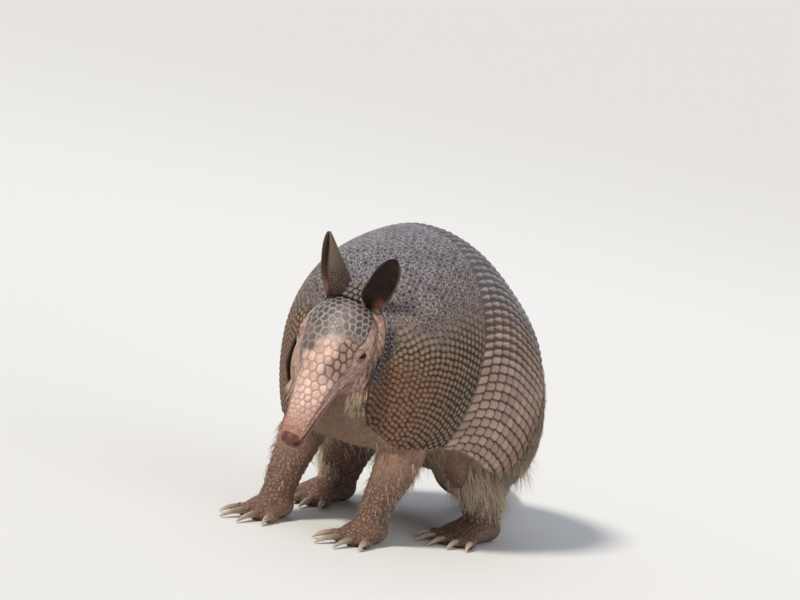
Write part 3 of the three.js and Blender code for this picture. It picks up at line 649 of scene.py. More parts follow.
# %% Scutes of a hoop
def tiles(across, angle, share, index):
    """The scutes of one hoop. `share` runs from 0 at its front to 1 at its rear edge. Triangles of
    half width 2.1 * share^0.6 mm on the back fill out to squares 4.9 to 6.2 mm wide on the flank.
    Gives each point's tile share, relief, dark share, fullness, chance, flank angle and offset."""
    size = mix(4.9, 6.2, smooth(np.abs(angle), 62, 112))
    steps = np.diff(across, axis=1) / size[:, 1:]
    cell = np.hstack([np.zeros((len(across), 1)), np.cumsum(steps, 1)])
    cell = cell - cell[:, [across.shape[1] // 2]] + 0.17 * index
    middle = np.round(cell)
    offset = np.abs(cell - middle) * size
    chance = scatter(middle, index, 11)
    flank = np.abs(angle) + 6 * (scatter(middle, 2 + index, 4) - 0.5)
    full = smooth(flank, 64 - 1.2 * index, 88 - 1.2 * index)
    point = 2.1 * np.clip((share - 0.08) / 0.92, 0, 1) ** 0.6
    long = np.clip(np.abs(share - 0.54) / 0.44, 0, 1)
    square = (size / 2 - 0.1) * (1 - long**5) ** 0.25
    half = mix(point, square, full)
    tile = 1 - smooth(offset, half - 0.85, half + 0.05)
    tile = tile * mix(1, 1 - smooth(long, 0.78, 0.98), full)
    round_ = np.sqrt(np.clip(1 - (offset / (0.54 * size)) ** 2, 0, 1))
    crown = round_ * mix(1, np.sqrt(np.clip(1 - long**4, 0, 1)), full)
    relief = tile * crown * mix(0.55, 0.95, full) * mix(0.7, 1, smooth(share, 0, 0.5))
    pale = smooth(flank, 28 - 2 * index, 56 - 2 * index)
    dark = np.clip(1 - tile * mix(0.5, 1.0, pale), 0, 1) * mix(0.8, 0.92, full)
    return tile, relief - 0.45 * (1 - tile), dark, full, chance, flank, offset


LAST_ROW = 9.6  # mm


def last_row(relief, values, ahead, across, angle):
    """The row of long scutes along a shield's rear edge, made like those of a band."""
    inside = 1 - smooth(ahead, LAST_ROW - 0.6, LAST_ROW)
    _, high, dark, _, chance, flank, _ = tiles(across, angle, 1 - ahead / LAST_ROW, 0)
    values["dark"] = mix(values["dark"], dark, inside)
    values["chance"] = mix(values["chance"], chance, inside)
    values["pink"] = 0.8 * inside * smooth(flank, 46, 68)
    for key in ("net", "black", "warm"):
        values[key] = values[key] * (1 - inside)
    return mix(relief, high, inside)


print("rear row of the front shield:", LAST_ROW, "mm long")

# %% [markdown]
# ## Building the shields
# A shield is a bent bony plate 3.5 mm thick, thinner at its edges. A Solidify modifier would give
# one thickness everywhere, so both faces come from the body's formula, at their own depths.

# %% Scapular and pelvic shields
HIDDEN = {"dark": 0.9, "tan": 1, "warm": 0.6}  # the inner faces are dark brown
EDGE_THICK, INNER_STEP = 1.9, 12  # mm, and outer columns to one inner column


def neck_edge(v):
    """The front edge's shift for a share v of the wrap: the sides reach forward round the neck
    by NECK_LOBE * sin^2(pi/2 * v^2), and the lower corner is rounded off from 0.8 down."""
    corner = np.clip((np.abs(v) - 0.8) / 0.2, 0, 1) ** 1.3
    return NECK_LOBE * (corner - np.sin(np.pi / 2 * v * v) ** 2)


def shield(name, start, end, rows, columns, seed, start_at=None, **kit):
    """One shield. Its outer face is raised by BAND_STEP times the way back, plus the relief and
    less the rounding. Its inner face lies SHELL mm down, or EDGE_THICK at the edges."""
    distance, angle = plate_grid(start, end, rows, columns, start_at)
    along = np.clip((distance - start) / (end - start), 0, 1)
    relief, values, ahead, across = shield_values(distance, angle, start_at is not None, seed)
    length = ahead[[0]]
    if start_at is not None:
        relief = last_row(relief, values, ahead, across, angle)
    drop = edge_round(ahead, across, length)
    outer = plate_surface(distance, angle, BAND_STEP * along + relief - drop)
    few = slice(None, None, INNER_STEP)
    side = np.minimum(across - across[:, [0]], across[:, [-1]] - across)[:, few]
    edge = np.minimum(side, (length - ahead)[:, few])
    thick = mix(EDGE_THICK, SHELL, smooth(edge, 0, 9))
    inner = plate_surface(distance[:, few], angle[:, few], -thick)
    return closed_plate(name, outer, inner, values, HIDDEN, **kit)


scapular = shield("scapular_shield_scutes", 0, SCAPULAR_LENGTH, 166, 529, 1, neck_edge,
                  replaces=("scapular_shield",), slot="shell")
pelvic = shield("pelvic_shield_scutes", BANDS_END, PELVIC_REACH, 181, 481, 2,
                replaces=("pelvic_shield",), slot="shell")

# %% [markdown]
# ## The bands
# Nine hoops of scutes slide over each other like roof tiles, so that the shell can bend. A hoop's
# horn is a row of pale triangles with their points forward, and dark horn between them. Low on
# the flank the triangles fill out to plump squares with thin brown lines. An Array modifier would
# copy one hoop, but each has its own section.


# %% Nine bands
def band(index):
    """One hoop. Its rear edge stands BAND_STEP proud and lies over the next one. Between two
    scutes the edge is drawn back by 0.9 * (offset / 2.4)^2 mm, which makes it toothed."""
    start = SCAPULAR_LENGTH + index * BAND_PITCH
    distance, angle = plate_grid(start, start + BAND_PITCH, 26, 577)
    ahead, across = measured(plate_surface(distance, angle, 0.0))
    length = ahead[[0]]
    share = 1 - ahead / length
    tile, relief, dark, full, chance, flank, offset = tiles(across, angle, share, index + 1)
    ending = 0.9 * (offset / 2.4) ** 2 * smooth(share, 0.7, 1.0) * mix(1, 0.3, full)
    drop = edge_round(ahead, across, length, 1.0) * smooth(share, 0.3, 0.6)
    # Painted shade: a dark strip along the band's front edge, where the band before lies over it.
    dark = np.maximum(dark, 0.85 * smooth(share, mix(0.16, 0.1, full), 0.02))
    outer = plate_surface(distance - ending, angle, BAND_STEP * share + relief - drop)
    few = slice(None, None, INNER_STEP)
    inner = plate_surface(distance[:, few], angle[:, few], -SHELL)
    rear = smooth(index + 0 * share, 5.5, 8) * smooth(flank, 70, 95)
    values = {"dark": dark, "tan": smooth(flank, 34, 68), "pink": smooth(flank, 48, 72) * 0.95,
              "warm": 0.8 * rear, "chance": chance, "net": 0.35 * (1 - tile), "black": 0 * share}
    return closed_plate(f"band_{index + 1}_scutes", outer, inner, values, HIDDEN,
                        replaces=(f"band_{index + 1}",), slot="shell")


bands = [band(i) for i in range(BAND_COUNT)]
for piece in [scapular, pelvic, *bands]:
    piece.data.materials.append(HORN)

# %% [markdown]
# ## Round bodies
# Head, nose, tail, claws and limbs are tubes: rings of points along a path, closed at both ends. A
# bevelled curve keeps one section, and these change theirs on the way.


# %% Tube maker
def tube(rings):
    """Points, faces and OFBake corners of a closed tube through rings (rows, sides, 3). Each end
    closes on its ring's middle."""
    rows, sides = rings.shape[:2]
    grid = np.arange(rows * sides).reshape(rows, sides)
    after = np.roll(grid, -1, axis=1)
    quads = np.stack([grid[:-1], after[:-1], after[1:], grid[1:]], -1).reshape(-1, 4)
    middle = rows * sides + np.zeros(sides, int)
    first = np.stack([middle, after[0], grid[0]], -1)
    last = np.stack([middle + 1, grid[-1], after[-1]], -1)
    points = np.concatenate([rings.reshape(-1, 3), rings[[0, -1]].mean(1)])
    across, along = np.meshgrid(np.arange(sides) / sides, np.linspace(0, 1, rows)[:-1])
    step, rise = 1 / sides, 1 / (rows - 1)
    low = np.stack([across, along], -1)
    box = [low, low + (step, 0), low + (step, rise), low + (0, rise)]
    quad_uv = np.stack(box, 2).reshape(-1, 4, 2) * (0.98, 0.88) + (0.01, 0.01)
    turn = np.arange(sides) * 2 * np.pi / sides
    rim = np.stack([np.cos(turn), np.sin(turn)], -1) * 0.035
    fans = []
    for spot, (a, b) in (((0.06, 0.95), (1, 0)), ((0.16, 0.95), (0, 1))):
        edge = [rim, np.roll(rim, -1, axis=0)]
        fans.append(np.stack([0 * rim, edge[a], edge[b]], 1) + spot)
    return points, [quads, first, last], [quad_uv, *fans]


def tube_piece(name, rings, values=None, **kit):
    """A tube as a piece. Each value is a (rows, sides) grid, and the two middles take the mean
    of their rings."""
    points, faces, uv = tube(rings)
    held = {key: np.concatenate([grid.ravel(), grid[[0, -1]].mean(1)])
            for key, grid in (values or {}).items()}
    return make_piece(name, points, faces, uv, held, **kit)


def join(parts):
    """Several (points, faces, uv) as one, each with its faces turned outwards."""
    points, faces, uv, count = [], [], [], 0
    for spots, groups, corners in parts:
        turn = 1 if volume(spots, groups) > 0 else -1
        points.append(spots)
        faces += [g[:, ::turn] + count for g in groups]
        uv += [c[:, ::turn] for c in corners]
        count += len(spots)
    return np.concatenate(points), faces, uv


print("a tube of 3 rings of 8 has", sum(len(f) for f in tube(np.zeros((3, 8, 3)))[1]), "faces")

# %% [markdown]
# ## The head shield
# Hard polished scutes cover the crown and the muzzle. On the crown they are dark polygons in a
# pale net, lighter along the middle. On the muzzle they are plump, pinkish cream, and parted by
# thin brown lines, and they get smaller towards the nose. The lattice lies on arc lengths, so a
# scute keeps its shape where the head narrows.

# %% Head shield
SHIELD_END, SHIELD_WRAP, SHIELD_DEEP = 89.0, 55.0, 1.4
LID_ALONG = 31.8  # mm along the head, where the slit between the lids is


def shield_wrap(x):
    """Half the shield's wrap in degrees, drawn in by 8 beside the eye."""
    return SHIELD_WRAP - 8 * bell(x - LID_ALONG, 8)


def head_scute_size(x):
    """The scutes' spacing in mm: 4.8 on the crown, 5.7 on the muzzle, 2.9 behind the nose."""
    return mix(mix(4.8, 5.7, smooth(x, 18, 34)), 2.9, smooth(x, 54, 88))


def head_shield_piece():
    """A closed plate on the head. On the crown the net stands 0.3 mm proud. On the muzzle, and
    where it is `bumpy` above the eye, a cell is a quarter round of its distance to the border."""
    rows, columns = 321, 181
    x, v = np.meshgrid(np.linspace(0.3, SHIELD_END, rows), np.linspace(1, -1, columns),
                       indexing="ij")
    angle = v * shield_wrap(x)
    bare = head_point(x / HEAD_LENGTH, angle)
    across = measured(bare)[1]
    size = head_scute_size(x)
    steps = np.append(0, np.cumsum(np.diff(x[:, 0]) / size[1:, 0]))
    # From 8 mm beside the midline on, the scutes get narrower, to two thirds at 20 mm.
    crowded = across + np.sign(across) * 0.02 * np.maximum(np.abs(across) - 8, 0) ** 2
    border, chance = honeycomb(steps[:, None] + 0 * x, crowded / size, 0.18, 21)
    gap = border * size
    start = 34 + 0.33 * np.maximum(4 - angle, 0) + 0.06 * np.maximum(angle - 4, 0)
    muzzle = smooth(x - start + 9 * (chance - 0.5), -5.5, 5.5)
    edge = np.minimum(np.abs(across - across[:, [0]]), np.abs(across - across[:, [-1]]))
    bumpy = smooth(edge + 4 * (chance - 0.5), 15, 8) * smooth(x, 22, 30) * (1 - smooth(x, 48, 58))
    bumpy = bumpy * mix(0.25, 1, smooth(angle, -10, 10))
    line = 1 - smooth(gap, 0.0, mix(1.0, 1.5, bumpy))
    plump = np.sqrt(np.clip(1 - (1 - np.clip(gap / mix(1.7, 2.3, bumpy), 0, 1)) ** 2, 0, 1))
    relief = mix(0.3 * line, mix(0.65, 1.1, bumpy) * plump - 0.2, np.maximum(muzzle, bumpy))
    edge = np.minimum(edge, np.minimum(x, SHIELD_END - x))
    drop = 0.9 * (1 - np.sqrt(1 - np.clip(1 - edge / 1.2, 0, 1) ** 2))
    brown = np.clip(bumpy * (0.75 + 0.5 * chance), 0, 1)
    rosy = smooth(x, 70, 88)
    outer = on_head(head_point(x / HEAD_LENGTH, angle, relief - drop + 0.1))
    few = slice(None, None, 4)
    inner = on_head(head_point((x / HEAD_LENGTH)[:, few], angle[:, few], -SHIELD_DEEP))
    values = {"line": line, "muzzle": muzzle, "brown": brown, "rosy": rosy, "chance": chance,
              "middle": bell(angle - 8, 17) * smooth(x, 3, 12)}
    return closed_plate("head_shield_scutes", outer, inner, values, {"line": 1},
                        replaces=("head_shield",), slot="head_shield")


head_plate = head_shield_piece()

# %% [markdown]
# ## Polished horn
# On the head the horn is worn smooth and half glossy, so each plump scute catches its own small
# light. The cells are painted first, then the lines between them.


# %% Horn of the head
def polished_horn(tree):
    """Cells from crown to cream by `muzzle`, then brown and rosy ones, under a net of lines. The
    grey over it is 0.72 + 0.5 * noise."""
    place = node(tree, "TexCoord", output="Object")
    crown = painted(tree, "433d3e", ("middle", "746b67"))
    cream = painted(tree, "dfc0b2", (clouded(tree, place, 7, 3, 0.3, 0.7), "cda696"))
    cell = painted(tree, crown, ("muzzle", cream), ("brown", "9c7f70"), ("rosy", "a97a69"))
    edge = painted(tree, "978b82", ("muzzle", "b28d7c"), ("brown", "4f3c33"))
    tone = painted(tree, cell, ("line", edge))
    shade = node(tree, "TexNoise", {"Vector": place, "Scale": 1000 / 2.5, "Detail": 4})
    shade = node(tree, "Math", (shade, 0.5, 0.72), operation="MULTIPLY_ADD")
    wear = node(tree, "TexNoise", {"Vector": place, "Scale": 1000 / 1.5, "Detail": 3})
    pores = node(tree, "TexNoise", {"Vector": place, "Scale": 1000 / PORE, "Detail": 3})
    return {"Base Color": shaded(tree, tone, shade, 0.26, 0.85),
            "Roughness": node(tree, "Math", (wear, 0.3, 0.26), operation="MULTIPLY_ADD"),
            "Normal": node(tree, "Bump", {"Height": pores, "Strength": 0.25, "Distance": 0.0003})}


HEAD_HORN = material("horn_head_shield", {"IOR": 1.55, "Specular IOR Level": 0.4}, polished_horn)
head_plate.data.materials.append(HEAD_HORN)


# %% [markdown]
# ## The skin's body
# Under the shell lies one soft skin: neck, belly, legs and feet. It starts as plain tubes through
# the solids' sections, which are later melted into one surface. Sculpted flesh couldn't be changed
# by one number afterwards. Where the shell hides it, the tubes are cut down to a low roof, so that
# the mesh is spent where it shows.


# %% Flesh tubes
BELLY_STARTS, BELLY_REACH, TRUNK_START, COAT = 0.5, 0.68, 0.18, 0.4
# The roof starts this many degrees from the ridge, rises by mm, and ends at the tail's root.
ROOF_EDGE, ROOF_RISE, ROOF_END = 92, 12, 0.87
NECK_ROUNDS = (  # x, y, z, reach to the side, up and down, from the throat backwards
    (75, -1, 98, 9, 11, 12), (70, -3.5, 100, 22.5, 23, 25), (66, -3, 102, 26.5, 28, 31),
    (62, -2.5, 104, 28.5, 32, 35),
)


def flesh_point(t, angle, outset):
    """As body_point, but across the belly, where fall = -cos(angle) is over BELLY_STARTS, the
    reach down is a share from 0.5 to 0.68 of the section's, eased by a quarter sine."""
    row = BODY(t)
    turn = np.radians(angle)
    fall = -np.cos(turn)
    past = np.clip((fall - BELLY_STARTS) / (1 - BELLY_STARTS), 0, 1)
    share = BELLY_STARTS + (BELLY_REACH - BELLY_STARTS) * np.sin(np.pi / 2 * past)
    low = -(row[..., 5] * share + outset * fall)
    high = (np.where(fall < 0, row[..., 4], row[..., 5]) + outset) * np.cos(turn)
    rise = np.where(fall < BELLY_STARTS, high, low)
    return section_point(row, (row[..., 3] + outset) * np.sin(turn), rise)


def ring_angles(sides):
    """Degrees round a ring: as many even steps of 360 as it has sides."""
    return np.arange(sides) * 360 / sides


def trunk_rings():
    """Rings of the flesh. Above ROOF_EDGE they close with a roof, y times the share of the way
    down and z up by ROOF_RISE * (1 - share^2). At the root of the tail they show and stay whole."""
    t, angle = np.meshgrid(np.linspace(TRUNK_START - 0.02, 1, 60), ring_angles(64),
                           indexing="ij")
    depth = -SHELL - UNDER_SHELL - COAT
    bare = flesh_point(t, angle, depth)
    wrapped = np.mod(angle + 180, 360) - 180
    held = np.where(wrapped < 0, -1, 1) * np.maximum(np.abs(wrapped), ROOF_EDGE)
    x, y, z = np.moveaxis(flesh_point(t, held, depth), -1, 0)
    share = np.clip(np.abs(wrapped) / ROOF_EDGE, 0, 1)
    roof = np.stack([x, y * share, z + ROOF_RISE * (1 - share**2)], -1)
    return np.where((t > ROOF_END)[..., None], bare, roof)


def neck_rings():
    """Four rounds behind the throat, which fill the shield's front edge to within 2 mm, then the
    flesh behind it."""
    turn = np.radians(ring_angles(48))
    rings = []
    for x, y, z, wide, up, down in NECK_ROUNDS:
        rise = np.where(np.cos(turn) > 0, up, down) * np.cos(turn)
        rings.append(np.stack([x + 0 * turn, y + wide * np.sin(turn), z + rise], -1))
    for share in (0, 0.35, 0.7, 1):
        t = np.full(48, TRUNK_START * share)
        rings.append(flesh_point(t, ring_angles(48), -SHELL - UNDER_SHELL))
    return np.array(rings)


def rump_rings():
    """The flesh between the hips, which narrows backwards into the first hoop of the tail."""
    rows = ((-62, 0, 66, 30, 20, 20), (-86, 0, 61, 30, 22, 20), (-104, 0, 50, 26, 24, 20),
            (-115, 0, 38.5, 21, 20, 20), (-121, 0, 35, 19.3, 19.3, 19.3),
            (-128, 0, 34, 18.4, 18.4, 18.4))
    return limb_rings(rows, True)


def limb_rings(rows, upright):
    """Rings through rows of (x, y, z, wide, reach, reach): level rings down a leg, or upright
    rings along a foot, whose two reaches are up and down."""
    at = stations(rows)(np.linspace(0, 1, 30))[:, None]
    turn = np.radians(ring_angles(28))[None]
    x, y, z, wide, up, down = np.moveaxis(at, -1, 0)
    across = y + (wide - COAT) * np.sin(turn)
    if upright:
        reach = np.where(np.cos(turn) > 0, up, down) - COAT
        return np.stack([x + 0 * turn, across, z + reach * np.cos(turn)], -1)
    return np.stack([x - (up - COAT) * np.cos(turn), across, z + 0 * turn], -1)


print("rings: trunk", len(trunk_rings()), "neck", len(neck_rings()), "rump", len(rump_rings()))

# %% [markdown]
# ## Legs, feet and toes
# The hind feet have five toes and the front feet four, whose middle two carry the great digging
# claws. A still figure needs no armature: each leg is a tube through the solids' own stations.

# %% Legs, feet and toes
FEET = {  # ankle x and y, ball of the foot, and toes as (side, length, claw length)
    "front": (34, 31, 17, ((-9.8, 9, 14), (-3.4, 13, 23), (3.4, 13, 22), (9.8, 8, 13))),
    "hind": (-74, 50, 33, ((-12, 8, 11), (-6.3, 13, 16), (0, 15, 18), (6.3, 12, 15),
                           (12, 7, 11))),
}
STRIDES = {("front", 1): 0, ("front", -1): 12, ("hind", 1): 0, ("hind", -1): 14}
PADS = {
    "front": ((-12, 0, 8, 7, 6, 7), (-5, 0, 8, 11, 8, 9.2), (6, 0, 7, 12.5, 8, 8.1),
              (15, 0, 5.5, 12.8, 5.5, 6.5), (21, 0, 4.5, 9.5, 3.5, 3.8)),
    "hind": ((-15, 0, 8, 6, 6, 6.5), (-7, 0, 9, 10, 9, 10.3), (10, 0, 8, 12, 9, 9.2),
             (27, 0, 6, 14, 6, 7), (37, 0, 4.5, 11, 3.5, 3.8)),
}
TOE_RADIUS, TOE_TIP, TOE_SOLE, TOE_SPLAY = 4.0, 3.0, 0.9, 0.5


def leg_rows(pair, side, stride):
    """The solids' leg stations from the shoulder or hip to the ankle, mirrored to their side. The
    stride moves the lower ones forward."""
    rows = {
        "front": ((22, 30, 92, 15, 22, 22), (19, 34, 68, 15, 20, 20),
                  (24 + stride * 0.4, 34, 44, 13.5, 15.5, 15.5),
                  (31 + stride * 0.8, 32, 26, 11, 12.5, 12.5),
                  (34 + stride, 31, 8, 10, 11.5, 11.5)),
        "hind": ((-57, 34, 82, 15, 30, 30), (-58, 38, 60, 14, 30, 30),
                 (-61 + stride * 0.4, 43, 40, 14.5, 26, 26),
                 (-69 + stride * 0.8, 48, 24, 13, 18, 18),
                 (-74 + stride, 50, 8, 10, 12.5, 12.5)),
    }
    return [(x, side * y, *rest) for x, y, *rest in rows[pair]]


def toe_line(toe, ball, side):
    """A toe's start and end and its direction on the floor, in the foot's own frame."""
    across, length, _ = toe
    start = np.array((ball, side * across, TOE_RADIUS - TOE_SOLE))
    splay = np.arctan2(across * TOE_SPLAY, length + 8)
    ahead = np.array((np.cos(splay), side * np.sin(splay), 0.0))
    end = start + ahead * length
    end[2] = TOE_TIP
    return start, end, ahead


def toe_rings(toe, ball, side):
    """A toe is a tube with a knuckle in its middle and a round tip that the claw comes out of."""
    start, end, ahead = toe_line(toe, ball, side)
    sideways = np.array((-ahead[1], ahead[0], 0))
    turn = np.radians(ring_angles(16))
    rings = []
    for share, radius in ((-0.5, 3.6), (0, 3.8), (0.3, 3.4), (0.6, 3.9), (0.9, 3.3), (1.1, 2.2)):
        middle = start + (end - start) * share + (0, 0, 0.5 * bell(share - 0.55, 0.25))
        rings.append(middle + radius * (np.sin(turn)[:, None] * sideways
                                        + np.cos(turn)[:, None] * (0, 0, 1)))
    return np.array(rings)


limbs = [tube(trunk_rings()), tube(neck_rings()), tube(rump_rings())]
for (pair, side), stride in STRIDES.items():
    x, y, ball, toes = FEET[pair]
    limbs.append(tube(limb_rings(leg_rows(pair, side, stride), False)))
    place = np.array((x + stride, side * y, 0))
    limbs.append(tube(limb_rings(PADS[pair], True) + place))
    limbs += [tube(toe_rings(toe, ball, side) + place) for toe in toes]
spots, faces, _ = join(limbs)
print("flesh tubes:", len(limbs), "with", len(spots), "points")

# %% [markdown]
# ## One skin
# Real skin has no seams where a leg joins the belly. Boolean unions would leave sharp edges there.
# A voxel remesh rebuilds all tubes as one even net of quads, and smoothing softens its corners.


# %% Melt the tubes into one skin
VOXEL, FOOT_HIGH = 1.55, 9  # mm
SMOOTHED, FOOT_SMOOTHED = 0.55, 0.3  # shares of the way to the neighbours' mean


def remeshed(points, polygons, voxel):
    """Points and quads of the closed surface that a voxel remesh puts round all the tubes."""
    mesh = bpy.data.meshes.new("flesh")
    mesh.from_pydata((points * 0.001).tolist(), [], [f for g in polygons for f in g.tolist()])
    made = bpy.data.objects.new("flesh", mesh)
    bpy.context.collection.objects.link(made)
    step = made.modifiers.new("melt", "REMESH")
    step.mode, step.voxel_size = "VOXEL", voxel * 0.001
    done = made.evaluated_get(bpy.context.evaluated_depsgraph_get()).to_mesh()
    found = np.empty(len(done.vertices) * 3, np.float32)
    done.vertices.foreach_get("co", found)
    corners = np.empty(len(done.loops), np.int32)
    done.loops.foreach_get("vertex_index", corners)
    bpy.data.objects.remove(made)
    return found.reshape(-1, 3).astype(float) * 1000, corners.reshape(-1, 4)


def relaxed(points, quads, rounds, strength):
    """Moves each point part of the way to the mean of its neighbours, round after round."""
    pairs = np.concatenate([quads[:, [k, (k + 1) % 4]] for k in range(4)])
    count = np.bincount(pairs[:, 0], minlength=len(points))[:, None]
    for _ in range(rounds):
        total = np.stack([np.bincount(pairs[:, 0], points[pairs[:, 1], k], len(points))
                          for k in range(3)], -1)
        points = points + (total / count - points) * strength[:, None]
    return points


def normals_of(points, quads):
    """Unit normals at the points: the sum of their faces' cross products of the diagonals."""
    faces = np.cross(points[quads[:, 2]] - points[quads[:, 0]],
                     points[quads[:, 3]] - points[quads[:, 1]])
    total = np.stack([np.bincount(quads.ravel(), np.repeat(faces[:, k], 4), len(points))
                      for k in range(3)], -1)
    return total / np.maximum(np.linalg.norm(total, axis=1), 1e-9)[:, None]


flesh, flesh_quads = remeshed(spots, faces, VOXEL)
if volume(flesh, [flesh_quads]) < 0:
    flesh_quads = flesh_quads[:, ::-1]
flesh = relaxed(flesh, flesh_quads, 5, np.where(flesh[:, 2] < FOOT_HIGH, FOOT_SMOOTHED, SMOOTHED))
print("one skin:", len(flesh), "points")

# %% [markdown]
# ## Folds
# Loose skin lies in folds on the neck and flanks, in rows on the belly and in rings on the ankles.
# A bump map has no outline, so the points move along their normals by sums of waves.


# %% Folds of the body skin
def ripple(place, size, seed):
    """Smooth uneven waves from -1 to 1 about `size` mm across: the mean of sines along five
    fixed slanting directions."""
    total = 0.0
    for k in range(5):
        turn = 2.4 * k + seed
        tilt = 0.8 * np.sin(1.7 * k + seed * 2.1)
        way = np.array((np.cos(turn), np.sin(turn), tilt))
        total = total + np.sin(place @ way * (2 * np.pi / size) * (0.8 + 0.13 * k) + 1.9 * k)
    return total / 5


def body_values(points, normals):
    """Shares from 0 to 1 over the body skin: leg, its scaly lower part, the underside (belly), the
    throat, and the face's colour on the neck."""
    x, y, z = points.T
    leg = smooth(np.abs(y), 15, 24) * smooth(z, 58, 46)
    front_neck = smooth(x, 40, 58) * smooth(z, 40, 60)
    # The throat share marks where the skin is coloured darker under the neck, partly as painted shade.
    throat = bell(y, 24) * smooth(x, 30, 55)
    belly = smooth(normals[:, 2], -0.2, -0.7) * (1 - leg)
    neck = smooth(x, 46, 56) * smooth(z, 84, 100)
    return {"scaly": np.clip(leg * smooth(z, 52, 30), 0, 1), "belly": belly * (1 - neck),
            "throat": throat * front_neck * (1 - neck), "leg": leg, "face": neck}


skin_normals = normals_of(flesh, flesh_quads)
body = body_values(flesh, skin_normals)
x, y, z = flesh.T
creases = np.maximum(ripple(flesh * (1.6, 0.5, 0.8), 7.0, 3), 0) ** 2
folds = 0.7 * creases * (1 - body["leg"]) * smooth(z, 30, 50)
along_neck = np.hypot(y + 1, z - 104) - x
round_neck = np.maximum(np.cos(along_neck * 2 * np.pi / 5 + 3 * ripple(flesh, 20, 2)), 0) ** 2
folds = folds + 0.8 * round_neck * body["face"]
# Painted shade: the furrow share colours the skin darker in its folds.
body["furrow"] = np.clip(0.9 * folds, 0, 0.75)
rows = 0.35 * np.cos(x * 2 * np.pi / 6.5) * np.cos(y * 2 * np.pi / 5.2 + x) * body["belly"]
ankles = 0.35 * np.cos(z * 2 * np.pi / 4.2 + 2 * ripple(flesh, 20, 5)) * body["leg"]
flesh = flesh + skin_normals * (rows - folds + ankles * smooth(z, 8, 16))[:, None]
flesh[:, 2] = np.maximum(flesh[:, 2], 0.05)
print("folds up to", round(float(folds.max()), 2), "mm deep")

# %% [markdown]
# ## The skin's head
# The head needs finer work than the rest: lids round the eye, a long mouth line with lips, and
# wrinkles on the cheek. It is a fine tube through the head's sections, pushed in and out by
# formulas, and joined to the body skin inside the neck. Each formula can be changed by itself,
# which sculpting doesn't allow.

# %% Head skin
MOUTH_START, MOUTH_RISE, HEAD_SKIN_END = 44.0, 2.2, 0.965
SEAT = 1.15  # mm that the skin lies lower under the scutes
LID_ANGLE = 59.5  # degrees: the slit lies higher on the head than the middle of the ball


def eye_distance(point, side):
    """Distances along the head and round it from the slit's place on the skin, in mm."""
    spot = head_point(np.array(LID_ALONG / HEAD_LENGTH), side * LID_ANGLE)
    around = np.hypot(point[..., 1] - spot[1], point[..., 2] - spot[2])
    return point[..., 0] - spot[0], around * np.sign(spot[2] - point[..., 2])


